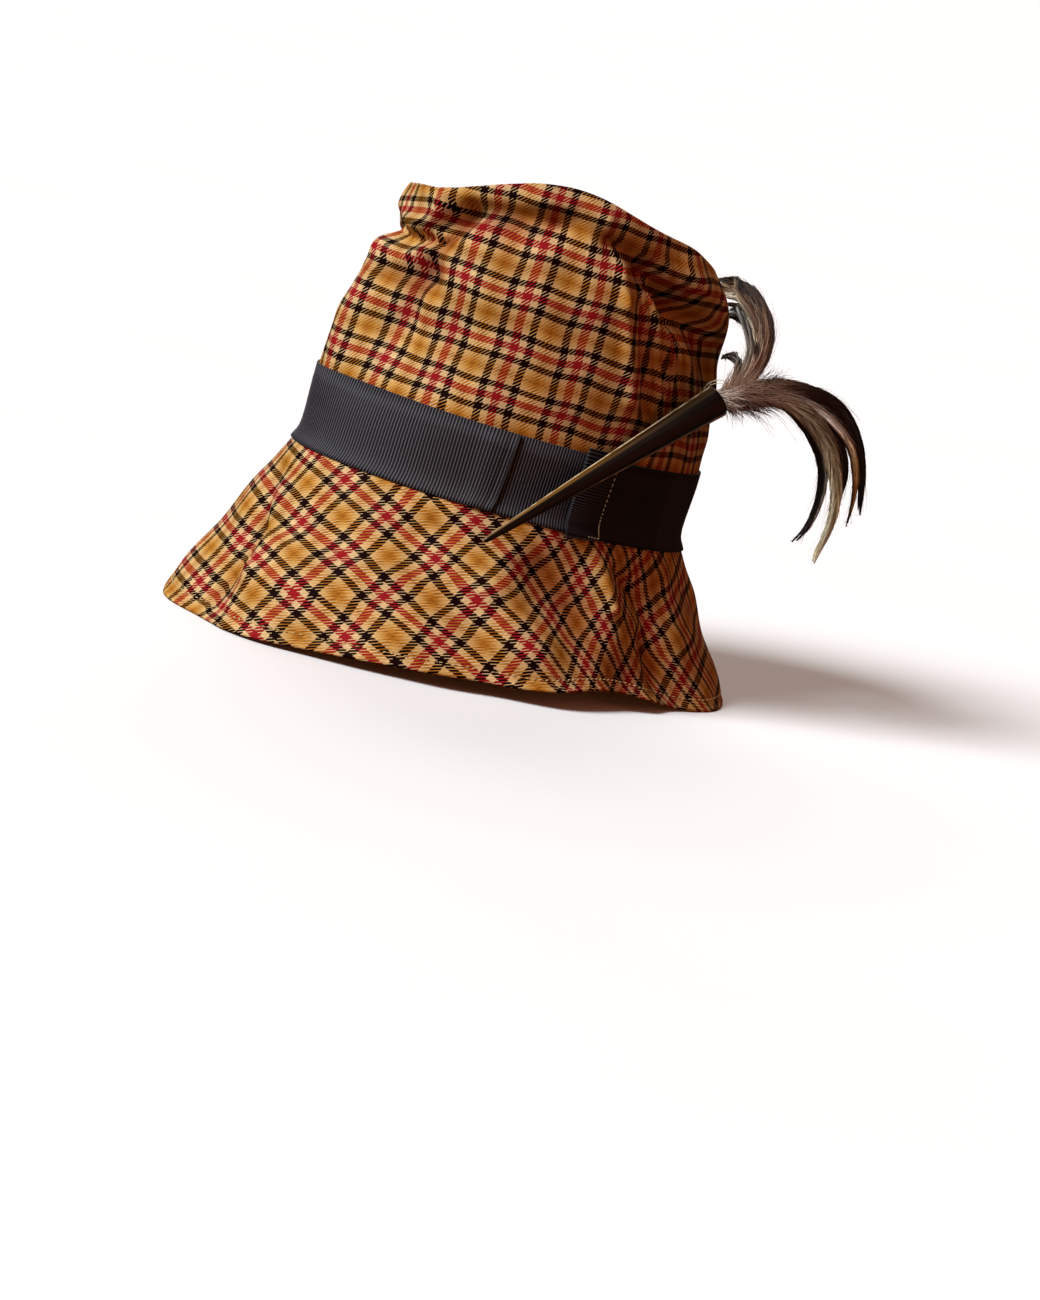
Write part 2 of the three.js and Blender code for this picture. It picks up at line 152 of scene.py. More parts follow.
# Soft unevenness of the cloth: how many waves, their lengths, how deep they are, and how far they shift the
# check.
CRUMPLE = dict(waves=12, shortest=16, longest=46, deep=0.42, drift=0.2)
SEEDS = dict(crown=3, brim=5, crown_across=11, crown_up=13, brim_across=17, brim_up=19, feathers=41)

# The check: size of one repeat across the warp and the weft, and where a red stripe falls.
CROWN_SETT = dict(across=32.6, up=25.0, red_across=24.3, red_up=13.0, grain_at=62, ease=0.0009)
BRIM_SETT = dict(across=31.0, up=28.0, red_across=14.5, red_up=7.5, radius=264, turn=math.radians(8))

# Cloth drawn in at the brim's left side: a share of its length, by the angles where that starts and is full
DRAWN_IN = dict(start=76, full=112, share=0.42)

# Distance between the lines of the twill along the warp and the weft
TWILL = 2.0

# How strongly painted shade darkens the cloth in its sunk folds, and the depths in millimetres where that
# starts and is full
FOLD_SHADE = dict(crown=1.0, brim=1.1, start=0.8, full=7.0)

# The hem: its sewn line above the brim's edge, and the rolled edge and sewn groove by distance from the edge
HEM = 7.0
HEM_RELIEF = [
    dict(name="rolled edge", at=1.2, wide=1.4, push=0.5),
    dict(name="sewn groove", at=HEM, wide=0.9, push=-0.45),
]

# Top of the crown: the places its edge hangs from, the height of its middle above the waist, how thick it is
# and how steeply it dishes
TIP = dict(edge=5.85, low=5.68, middle=112.0, thick=1.2 * CLOTH, dish=1.7)

# Bow and band: angles, the band's height for each place, how far off the cloth the tab lies, and the ribs
LIP_AT = 66
LIP_SLANT = 1.1
LIP_RELIEF = [
    dict(name="rolled lip", at=-0.2, wide=0.3, push=0.4),
    dict(name="pressed fold", at=-2.6, wide=0.5, push=-0.25),
]
TAB_FROM = 90
TAB_TO = 102.5
TAB_LOW = -0.03
TAB_HIGH = 2.08
TAB_RISE = 32
WING_END = 131
BAND_END = 104
BAND_RISE = 30
TAB_UNDER = 3 * GAP + 2 * RIBBON
RIB = 1.6
RIB_DEEP = 0.34

HORN = dict(tip=(99, -45.8, JOIN_HEIGHT - 17.6), mouth=(90, 66.5, JOIN_HEIGHT + 65.4),
            tip_radius=1.2, mouth_radius=8, wall=1.6)
HORN_BORE = 12

# Hackles of the plume: each runs through points taken from the middle of the horn's mouth. Half is half
# the width of its blade, copies the number laid side by side, fan how far they part at the tip, and dress
# names the colouring.
ARCH_HACKLES = [
    dict(name="upper fill", half=4.2, copies=4, fan=0, dress="brown",
         way=[(0, 3, 6), (-2, 22, 9), (-4, 39, 11), (-6, 57, 9), (-8, 72, 1), (-10, 82, -9)]),
    dict(name="outer", half=3.6, copies=4, fan=0, dress="umber",
         way=[(0, 3, 4), (-2, 30, 10), (-5, 56, 10), (-7, 73, 4), (-9, 87, -9), (-12, 97, -27),
              (-14, 102, -48)]),
    dict(name="second", half=2.4, copies=3, fan=0, dress="streaked",
         way=[(2, 6, 4), (1, 31, 8), (0, 52, 5), (-1, 69, -3), (-3, 81, -12), (-4, 88, -24), (-6, 92, -38),
              (-8, 93, -56)]),
    dict(name="black", half=4.0, copies=3, fan=0, dress="black",
         way=[(0, 5, 3), (-1, 35, 7), (-1, 53, 4), (-2, 67, -4), (-3, 77, -16), (-3, 82, -28),
              (-4, 83, -42)]),
    dict(name="main", half=4.6, copies=3, fan=0, dress="straw",
         way=[(3, 4, 2), (4, 31, 5), (5, 48, 0), (5, 61, -10), (5, 69, -22), (5, 74, -35), (5, 75, -51),
              (4, 70, -74)]),
    dict(name="left", half=2.6, copies=3, fan=0, dress="dark",
         way=[(1, 6, 1), (0, 34, 3), (-1, 50, -4), (-2, 62, -15), (-3, 69, -27), (-4, 71, -40), (-5, 69, -54),
              (-6, 62, -66)]),
]
SPRAY_HACKLES = [
    dict(name="spray fringe", half=3.0, copies=4, fan=1.2, dress="umber",
         way=[(-2, 8, 7), (-14, 25, 13), (-25, 35, 24), (-35, 38, 37), (-46, 36, 46), (-58, 34, 51),
              (-72, 35, 52), (-88, 38, 50), (-104, 39, 46)]),
    dict(name="spray brown", half=4.0, copies=5, fan=1.6, dress="fawn",
         way=[(-2, 8, 7), (-13, 23, 13), (-24, 32, 24), (-34, 35, 36), (-45, 34, 44), (-57, 33, 48),
              (-72, 35, 49), (-88, 38, 47), (-106, 39, 42)]),
    dict(name="spray cream", half=2.8, copies=4, fan=2.0, dress="cream",
         way=[(-1, 8, 6), (-12, 21, 14), (-23, 30, 24), (-33, 33, 34), (-44, 33, 41), (-56, 33, 45),
              (-72, 35, 45), (-88, 38, 42), (-104, 39, 37)]),
    dict(name="spray dark", half=1.8, copies=2, fan=1.6, dress="black",
         way=[(-2, 8, 7), (-12, 20, 14), (-22, 28, 24), (-32, 31, 32), (-43, 32, 38), (-56, 33, 41),
              (-72, 36, 40), (-88, 39, 36)]),
    dict(name="spray inner", half=3.2, copies=4, fan=2.0, dress="grey",
         way=[(-2, 8, 7), (-12, 18, 14), (-22, 26, 23), (-32, 29, 30), (-43, 31, 35), (-56, 33, 37),
              (-70, 37, 36), (-86, 40, 32)]),
    dict(name="curl", half=2.6, copies=4, fan=1.0, dress="grey",
         way=[(-4, 7, 6), (-14, 15, 14), (-24, 21, 17), (-34, 24, 18), (-48, 28, 17), (-62, 33, 14)]),
]


# Shape of the hat

def turn_from(at, angle):
    """Shortest turn from one angle to another, in degrees."""
    return (angle - at + 180) % 360 - 180


def bump(distance, spread):
    """A bell curve: 1 at no distance, falling off by the spread."""
    return np.exp(-((distance / spread) ** 2))


def smooth_step(value, start, end):
    """0 before start, 1 after end, and an S curve between them."""
    share = np.clip((value - start) / (end - start), 0, 1)
    return share * share * (3 - 2 * share)


def by_quarter(angle, four):
    """Cosine and sine of the angle, with the front or back and the left or right value that apply."""
    front, left, back, right = four
    c = np.cos(np.radians(angle))
    s = np.sin(np.radians(angle))
    return c, s, np.where(c > 0, front, back), np.where(s > 0, left, right)


def quarters(angle, four):
    """A value that passes smoothly through its four quarters, by the squares of cosine and sine."""
    c, s, along, across = by_quarter(angle, four)
    return along * c * c + across * s * s


def oval(angle, four):
    """Reach of an oval made of four quarter ellipses."""
    c, s, along, across = by_quarter(angle, four)
    return 1 / np.hypot(c / along, s / across)


def through(values, place):
    """Smooth cubic through the values along axis 0, at a place counted in steps of that axis."""
    last = len(values) - 1
    place = np.broadcast_to(place, values.shape[1:])
    i = np.clip(np.floor(place).astype(int), 0, last - 1)
    f = place - i

    def value(at):
        return np.take_along_axis(values, np.clip(at, 0, last)[None], 0)[0]

    slope_a = np.where(i == 0, value(i + 1) - value(i), (value(i + 1) - value(i - 1)) / 2)
    slope_b = np.where(i == last - 1, value(i + 1) - value(i), (value(i + 2) - value(i)) / 2)
    start = (2 * f**3 - 3 * f**2 + 1) * value(i) + (f**3 - 2 * f**2 + f) * slope_a
    return start + (-2 * f**3 + 3 * f**2) * value(i + 1) + (f**3 - f**2) * slope_b


def lean(x, y, height):
    """From the crown's own leaning frame to the frame the hat rests in: a turn about the X axis."""
    back = BRIM_CENTRE + y * math.cos(CROWN_LEAN) + height * math.sin(CROWN_LEAN)
    up = JOIN_HEIGHT - y * math.sin(CROWN_LEAN) + height * math.cos(CROWN_LEAN)
    return np.stack([x, back, up], -1)


def crease_push(rows, angle, height, mm_each_degree):
    """Sum of creases: each is its push times a bell curve of the distance to its line."""
    total = np.zeros(np.broadcast(angle, height).shape)
    for row in rows:
        from_x = turn_from(row["start"][0], angle) * mm_each_degree
        from_y = height - row["start"][1]
        line_x = turn_from(row["start"][0], row["end"][0]) * mm_each_degree
        line_y = row["end"][1] - row["start"][1]
        share = np.clip((from_x * line_x + from_y * line_y) / (line_x**2 + line_y**2), 0, 1)
        total += row["push"] * bump(np.hypot(from_x - share * line_x, from_y - share * line_y), row["wide"])
    return total


def relief(distance, rows):
    """Sum of ridges and grooves: each is its push times a bell curve of the distance to its place."""
    return sum(row["push"] * bump(distance - row["at"], row["wide"]) for row in rows)


def gather_push(angle, height):
    """Sum of gathers: a sine across the angle under a bell curve in angle and height."""
    total = np.zeros(np.broadcast(angle, height).shape)
    for row in CROWN_GATHERS:
        turn = turn_from(row["at"] + row["lean"] * (height - row["height"]), angle)
        window = bump(turn, row["spread"]) * bump(height - row["height"], row["tall"])
        total += row["push"] * window * np.sin(2 * math.pi * turn / row["pitch"])
    return total


def crumple(angle, height, seed):
    """Sum of slanted waves with whole numbers of turns round the hat, of about one unit's depth."""
    random = np.random.default_rng(seed)
    total = np.zeros(np.broadcast(angle, height).shape)
    for _ in range(CRUMPLE["waves"]):
        length = random.uniform(CRUMPLE["shortest"], CRUMPLE["longest"])
        slant = random.uniform(0, math.pi)
        around = np.round(CROWN_ROUND / length * math.cos(slant))
        phase = np.radians(angle) * around + height * 2 * math.pi / length * math.sin(slant)
        total += np.cos(phase + random.uniform(0, 2 * math.pi)) * length / CRUMPLE["longest"]
    return total


def crown_point(angle, place, creased=True):
    """Outer face of the crown: ovals through the rings, less the groove, plus dents and creases."""
    angle, place = np.broadcast_arrays(angle, place)
    heights = np.stack([quarters(angle, ring["height"]) for ring in RINGS])
    groove_at = quarters(angle, GROOVE["height"])
    groove_depth = quarters(angle, GROOVE["depth"])
    for fold in FOLDS:
        weight = bump(turn_from(fold["at"], angle), fold["spread"])
        heights[4] += 0.5 * fold["rim"] * weight
        heights[5] += fold["rim"] * weight
        heights[6] += fold["rim"] * weight
        groove_at = groove_at + fold["groove"] * weight
        groove_depth = groove_depth + fold["deeper"] * weight
    height = through(heights, place)
    reach = through(np.stack([oval(angle, ring["reach"]) for ring in RINGS]), place)
    reach = reach - groove_depth * bump(height - groove_at, quarters(angle, GROOVE["width"]))
    for dent in DENTS:
        turn = turn_from(dent["at"] + dent["lean"] * (height - dent["height"]), angle)
        window = bump(turn, dent["spread"]) * bump(height - dent["height"], dent["tall"])
        reach = reach + dent["push"] * window
    if creased:
        reach = reach + crease_push(CROWN_CREASES, angle, height, CROWN_DEGREE) + gather_push(angle, height)
        reach = reach + CRUMPLE["deep"] * crumple(angle, height, SEEDS["crown"]) * smooth_step(height, 34, 60)
    turn = np.radians(angle)
    return lean(reach * np.sin(turn), -reach * np.cos(turn), height)


def edge_lift(angle):
    """Height of the brim's edge: nothing where it rests, a rounded arch at each side."""
    lift = np.zeros_like(angle, dtype=float)
    for arch in ARCHES:
        share = np.clip(np.abs(turn_from(arch["at"], angle)) / arch["half"], 0, 1)
        lift = lift + arch["lift"] * np.cos(share * math.pi / 2) ** 2
    return lift


def brim_point(angle, share, creased=True):
    """Outer face of the brim: straight from the crown's hem (share 0) to the edge (1), plus waves."""
    angle, share = np.broadcast_arrays(angle, share)
    top = crown_point(angle, np.zeros_like(share), False)
    turn = np.radians(angle)
    out = np.stack([np.sin(turn), -np.cos(turn), np.zeros_like(turn)], -1)
    edge = out * oval(angle, EDGE_REACH)[..., None]
    edge[..., 1] += BRIM_CENTRE
    edge[..., 2] += edge_lift(angle)
    push = np.zeros_like(share, dtype=float)
    for wave in WAVES:
        near = bump(share - wave["peak"], wave["long"]) * np.minimum(share / 0.1, 1)
        push = push + wave["push"] * bump(turn_from(wave["at"], angle), wave["spread"]) * near
    if creased:
        down = share * BRIM_SLOPE
        uneven = CRUMPLE["deep"] * crumple(angle, down, SEEDS["brim"])
        push = push + crease_push(BRIM_CREASES, angle, down, BRIM_DEGREE) * np.minimum(share / 0.06, 1)
        push = push + uneven * smooth_step(share, 0.04, 0.3)
    return top + (edge - top) * share[..., None] + out * push[..., None]


def hat_point(angle, place, creased=True):
    """Outer face of brim and crown in one, by angle and place."""
    angle, place = np.broadcast_arrays(np.asarray(angle, float), np.asarray(place, float))
    crown = crown_point(angle, np.maximum(place, 0), creased)
    brim = brim_point(angle, np.maximum(-place, 0), creased)
    return np.where((place < 0)[..., None], brim, crown)


def unit(vectors):
    """Vectors scaled to length 1."""
    return vectors / np.maximum(np.linalg.norm(vectors, axis=-1, keepdims=True), 1e-9)


def outward(angle, place):
    """Outward direction of the hat: the cross product of its slopes along the angle and the place."""
    across = hat_point(angle + 0.5, place) - hat_point(angle - 0.5, place)
    upward = hat_point(angle, place + 0.02) - hat_point(angle, place - 0.02)
    return unit(np.cross(across, upward))


brim_lo, brim_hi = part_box("brim")
ROW_SHIFT = np.array([
    (brim_lo.x + brim_hi.x) / 2,
    brim_hi.y - (EDGE_REACH[2] + BRIM_CENTRE) * MM,
    0,
])


def to_metres(points):
    """From the tables' millimetres to the row frame's metres."""
    return np.asarray(points, float) * MM + ROW_SHIFT


# Meshes from arrays

def mesh_piece(name, points, faces, material, nodes=(), corner_uv=None, tint=None):
    """Puts points (n, 3) in millimetres and lists of faces into a mesh that rides on the hat."""
    mesh = bpy.data.meshes.new(name)
    corners = np.concatenate([part.ravel() for part in faces]).astype(np.int32)
    sizes = np.concatenate([np.full(len(part), part.shape[1]) for part in faces]).astype(np.int32)
    starts = np.concatenate([[0], np.cumsum(sizes)[:-1]]).astype(np.int32)
    mesh.vertices.add(len(points))
    mesh.vertices.foreach_set("co", to_metres(points).astype(np.float32).ravel())
    mesh.loops.add(len(corners))
    mesh.loops.foreach_set("vertex_index", corners)
    mesh.polygons.add(len(sizes))
    mesh.polygons.foreach_set("loop_start", starts)
    mesh.polygons.foreach_set("use_smooth", np.ones(len(sizes), bool))
    mesh.update(calc_edges=True)
    if corner_uv is not None:
        layer = mesh.uv_layers.new(name="cloth")
        layer.data.foreach_set("uv", corner_uv.astype(np.float32).ravel())
    if tint is not None:
        colours = mesh.color_attributes.new("tint", "FLOAT_COLOR", "POINT")
        rgba = np.concatenate([tint, np.ones((len(tint), 1))], 1)
        colours.data.foreach_set("color", rgba.astype(np.float32).ravel())
    mesh.materials.append(material)
    obj = bpy.data.objects.new(name, mesh)
    bpy.context.scene.collection.objects.link(obj)
    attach(obj, "root")
    if nodes:
        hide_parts(*nodes)
    return obj


def quad_grid(rows, columns, rows_close, columns_close):
    """Quads over a grid of points, with the corner places (row, column) that each one has."""
    r = np.arange(rows if rows_close else rows - 1)[:, None]
    k = np.arange(columns if columns_close else columns - 1)[None, :]
    corner_rows = np.stack(np.broadcast_arrays(r, r, r + 1, r + 1), -1)
    corner_columns = np.stack(np.broadcast_arrays(k, k + 1, k + 1, k), -1)
    corner_rows, corner_columns = np.broadcast_arrays(corner_rows, corner_columns)
    quads = (corner_rows % rows) * columns + corner_columns % columns
    return quads.reshape(-1, 4), corner_rows.reshape(-1, 4), corner_columns.reshape(-1, 4)


def ring_wall(name, outer, inner, uv, material, nodes):
    """A closed ring: outer rows going up and inner rows coming down, joined at both edges.
"""
    points = np.concatenate([outer, inner[::-1]])
    rows, columns = points.shape[:2]
    quads, corner_rows, corner_columns = quad_grid(rows, columns, True, True)
    corner_uv = uv[corner_rows % rows, corner_columns]
    return mesh_piece(name, points.reshape(-1, 3), [quads], material, nodes, corner_uv)


def strip_wall(name, outer, inner, uv, material, nodes):
    """A closed strip: a sheet with two faces of equal rows, closed along its four edges."""
    points = np.concatenate([outer, inner[::-1]])
    half = len(outer)
    rows, columns = points.shape[:2]
    quads, corner_rows, corner_columns = quad_grid(rows, columns, True, False)
    corner_uv = np.concatenate([uv, uv[::-1]])[corner_rows % rows, corner_columns]
    r = np.arange(half - 1)
    back = rows - 1 - r
    end = columns - 1
    first = np.stack([r * columns, (r + 1) * columns, (back - 1) * columns, back * columns], 1)
    last = np.stack([r, back, back - 1, r + 1], 1) * columns + end
    caps = np.concatenate([first, last])
    cap_uv = np.repeat(uv[r, 0][:, None], 4, 1)
    end_uv = np.repeat(uv[r, end][:, None], 4, 1)
    all_uv = np.concatenate([corner_uv.reshape(-1, 2), cap_uv.reshape(-1, 2), end_uv.reshape(-1, 2)])
    return mesh_piece(name, points.reshape(-1, 3), [quads, caps], material, nodes, all_uv)


def tube_faces(count, stations, sides):
    """Quads of many tubes whose points are numbered tube by tube, station by station, side by side."""
    tube = np.arange(count)[:, None, None] * stations * sides
    s = np.arange(stations - 1)[None, :, None] * sides
    k = np.arange(sides)[None, None, :]
    here = tube + s
    beside = (k + 1) % sides
    ahead = here + sides
    quads = np.stack(np.broadcast_arrays(here + k, here + beside, ahead + beside, ahead + k), -1)
    return quads.reshape(-1, 4)


# Finishes

def paint(code):
    """Linear colour of a hex code."""
    values = np.array([int(code[i:i + 2], 16) for i in (1, 3, 5)]) / 255
    linear = np.where(values <= 0.04045, values / 12.92, ((values + 0.055) / 1.055) ** 2.4)
    return (*[float(v) for v in linear], 1.0)


def add_node(tree, kind, inputs=None, **settings):
    """A node with its settings, and its inputs linked to sockets or set to values."""
    made = tree.nodes.new(kind)
    for key, value in settings.items():
        setattr(made, key, value)
    for key, value in (inputs or {}).items():
        if isinstance(value, bpy.types.NodeSocket):
            tree.links.new(value, made.inputs[key])
        else:
            made.inputs[key].default_value = value
    return made


def calc(tree, operation, a, b=0.0, c=0.0):
    """Output of a Math node."""
    return add_node(tree, "ShaderNodeMath", {0: a, 1: b, 2: c}, operation=operation).outputs[0]


def blend(tree, factor, a, b, kind="MIX"):
    """Colour output of a Mix node."""
    made = add_node(tree, "ShaderNodeMix", data_type="RGBA", blend_type=kind, clamp_factor=True)
    for socket, value in zip((made.inputs[0], made.inputs[6], made.inputs[7]), (factor, a, b)):
        if isinstance(value, bpy.types.NodeSocket):
            tree.links.new(value, socket)
        else:
            socket.default_value = value
    return made.outputs[2]


def ramp(tree, factor, stops):
    """Colour of a ramp through (place, colour) stops."""
    made = add_node(tree, "ShaderNodeValToRGB", {0: factor})
    elements = made.color_ramp.elements
    while len(elements) < len(stops):
        elements.new(0.5)
    for element, (place, colour) in zip(elements, stops):
        element.position = place
        element.color = colour
    return made.outputs[0]


def span(tree, value, from_low, from_high, to_low, to_high, kind="LINEAR"):
    """A value carried from one range to another."""
    inputs = {0: value, 1: from_low, 2: from_high, 3: to_low, 4: to_high}
    return add_node(tree, "ShaderNodeMapRange", inputs, interpolation_type=kind).outputs[0]


def noise(tree, vector, scale, detail=2.0):
    """Grey output of a noise texture."""
    inputs = {"Vector": vector, "Scale": scale, "Detail": detail}
    return add_node(tree, "ShaderNodeTexNoise", inputs).outputs[0]


def vector_of(tree, x, y, z=0.0):
    """A vector made of three values."""
    return add_node(tree, "ShaderNodeCombineXYZ", {0: x, 1: y, 2: z}).outputs[0]


def new_finish(name, **values):
    """A material with one Principled shader, whose constant values sit on its own sockets."""
    material = bpy.data.materials.new(name)
    material.use_nodes = True
    tree = material.node_tree
    shader = next(n for n in tree.nodes if n.type == "BSDF_PRINCIPLED")
    for key, value in values.items():
        shader.inputs[key.replace("_", " ")].default_value = value
    return material, tree, shader


def cloth_uv(tree):
    """U and V of the piece's own cloth map."""
    uv = add_node(tree, "ShaderNodeUVMap", uv_map="cloth").outputs[0]
    parts = add_node(tree, "ShaderNodeSeparateXYZ", {0: uv})
    return parts.outputs[0], parts.outputs[1]


# Yarn colours of one half repeat, from the middle of a red stripe to the middle of the gold ground.
STRIPES = [
    (0.000, paint("#9a1a20")),
    (0.126, paint("#9a1a20")),
    (0.138, paint("#dcb884")),
    (0.344, paint("#dcb884")),
    (0.356, paint("#170302")),
    (0.582, paint("#170302")),
    (0.594, paint("#d8b078")),
    (0.740, paint("#cfa15c")),
    (0.860, paint("#be8030")),
    (1.000, paint("#9c5a12")),
]


def checked_cloth():
    """Twill check: warp colours by U, weft colours by V, and a diagonal mask for which yarn is on top.

    The attribute fold, a depth in millimetres, paints shade into the cloth in its folds, darker and redder,
    and painted shade also darkens the twill's grooves."""
    material, tree, shader = new_finish("checked_cloth", Specular_IOR_Level=0.03)
    u, v = cloth_uv(tree)
    repeat = (CROWN_SETT["across"] + BRIM_SETT["across"]) / 2
    rise = (CROWN_SETT["up"] + BRIM_SETT["up"]) / 2
    along_warp = vector_of(tree, calc(tree, "MULTIPLY", u, 60.0), calc(tree, "MULTIPLY", v, 3.0))
    along_weft = vector_of(tree, calc(tree, "MULTIPLY", u, 3.0), calc(tree, "MULTIPLY", v, 60.0))
    warp_grain = noise(tree, along_warp, 1.0)
    weft_grain = noise(tree, along_weft, 1.0)
    shaken_u = calc(tree, "MULTIPLY_ADD", weft_grain, 0.012, calc(tree, "SUBTRACT", u, 0.006))
    shaken_v = calc(tree, "MULTIPLY_ADD", warp_grain, 0.012, calc(tree, "SUBTRACT", v, 0.006))
    warp = ramp(tree, calc(tree, "MULTIPLY", calc(tree, "PINGPONG", shaken_u, 0.5), 2.0), STRIPES)
    weft = ramp(tree, calc(tree, "MULTIPLY", calc(tree, "PINGPONG", shaken_v, 0.5), 2.0), STRIPES)
    u_lines = calc(tree, "MULTIPLY", u, repeat / TWILL)
    v_lines = calc(tree, "MULTIPLY", v, rise / TWILL)
    lines = calc(tree, "SUBTRACT", u_lines, v_lines)
    wale = calc(tree, "PINGPONG", lines, 0.5)

    def tone(colour):
        """Logarithm of the square of the green, which is low in the black and the red yarn."""
        green = add_node(tree, "ShaderNodeSeparateColor", {0: colour}).outputs[1]
        return calc(tree, "LOGARITHM", calc(tree, "MULTIPLY_ADD", green, green, 0.00002), 10.0)

    darker_weft = calc(tree, "SUBTRACT", tone(warp), tone(weft))
    turn_over = calc(tree, "MULTIPLY_ADD", darker_weft, 0.034, 0.25)
    past = calc(tree, "SUBTRACT", wale, turn_over)
    yarn = blend(tree, span(tree, past, -0.02, 0.02, 0.0, 1.0, "SMOOTHSTEP"), weft, warp)
    groove = calc(tree, "ABSOLUTE", calc(tree, "SUBTRACT", calc(tree, "FRACT", lines), 0.75))
    slub = calc(tree, "ADD", calc(tree, "MULTIPLY", warp_grain, 0.5), calc(tree, "MULTIPLY", weft_grain, 0.5))
    # Painted shade in the twill's grooves: hollow darkens the line where one yarn dips under the other. Slub
    # and wear are the yarns' own tone.
    hollow = span(tree, groove, 0.04, 0.2, 0.66, 1.0)
    shade = calc(tree, "MULTIPLY", span(tree, slub, 0.3, 0.7, 0.66, 1.24), hollow)
    wear = noise(tree, vector_of(tree, u, v), 1.7, 3.0)
    wear_tone_and_groove_shade = calc(tree, "MULTIPLY", shade, span(tree, wear, 0.3, 0.7, 0.9, 1.08))
    # Painted shade in the folds: the cloth goes darker and redder by how deep the creases sink it.
    fold = add_node(tree, "ShaderNodeAttribute", attribute_name="fold").outputs["Fac"]
    depth = span(tree, fold, FOLD_SHADE["start"], FOLD_SHADE["full"], 0.0, 1.0)
    tone_and_painted_fold_shade = calc(tree, "MULTIPLY", wear_tone_and_groove_shade, span(tree, depth, 0.0, 1.0, 1.0, 0.58))
    reddened_painted_fold_shade = calc(tree, "MULTIPLY", tone_and_painted_fold_shade, span(tree, depth, 0.0, 1.0, 1.0, 0.66))
    colour = blend(tree, 1.0, yarn, vector_of(tree, tone_and_painted_fold_shade, reddened_painted_fold_shade, reddened_painted_fold_shade), "MULTIPLY")
    tree.links.new(colour, shader.inputs["Base Color"])
    tree.links.new(span(tree, slub, 0.3, 0.7, 0.74, 0.58), shader.inputs["Roughness"])
    relief = calc(tree, "ADD", calc(tree, "MULTIPLY", groove, 2.0), slub)
    lift = add_node(tree, "ShaderNodeBump", {"Height": relief, "Strength": 0.35, "Distance": 0.0003})
    tree.links.new(lift.outputs[0], shader.inputs["Normal"])
    return material


def grosgrain():
    """Dark ribbon: U counts its ribs, which are in the mesh. Painted shade darkens it between the ribs and
    toward the back, and a painted sheen lightens the band beyond the right wing.
    """
    material, tree, shader = new_finish("grosgrain", Specular_IOR_Level=0.3)
    u, v = cloth_uv(tree)
    valley = calc(tree, "MULTIPLY", calc(tree, "PINGPONG", u, 0.5), 2.0)
    thread = noise(tree, vector_of(tree, calc(tree, "MULTIPLY", u, 0.9), calc(tree, "MULTIPLY", v, 2.6)), 1.0)
    patch = noise(tree, vector_of(tree, u, v), 0.06, 3.0)
    mixed = calc(tree, "ADD", calc(tree, "MULTIPLY", thread, 0.7), calc(tree, "MULTIPLY", patch, 0.3))
    crest = ramp(tree, mixed, [(0.3, paint("#47434c")), (0.7, paint("#6d6872"))])
    # Painted shade between the ribs: the valleys go nearly black.
    colour = blend(tree, span(tree, valley, 0.08, 0.42, 0.0, 1.0, "SMOOTHSTEP"), crest, paint("#030202"))
    place = add_node(tree, "ShaderNodeTexCoord").outputs["Object"]
    back = add_node(tree, "ShaderNodeSeparateXYZ", {0: place}).outputs[1]
    # Painted shade: the ribbon darkens toward the hat's back, away from the light; a painted sheen lightens
    # the band again beyond the right wing.
    painted_shade_to_back = span(tree, back, -0.03, 0.02, 1.0, 0.16, "SMOOTHSTEP")
    dim = calc(tree, "ADD", painted_shade_to_back, span(tree, back, 0.046, 0.052, 0.0, 0.3))
    colour = blend(tree, 1.0, colour, vector_of(tree, dim, dim, dim), "MULTIPLY")
    tree.links.new(colour, shader.inputs["Base Color"])
    tree.links.new(span(tree, patch, 0.3, 0.7, 0.6, 0.74), shader.inputs["Roughness"])
    lift = add_node(tree, "ShaderNodeBump", {"Height": thread, "Strength": 0.25, "Distance": 0.0002})
    tree.links.new(lift.outputs[0], shader.inputs["Normal"])
    return material


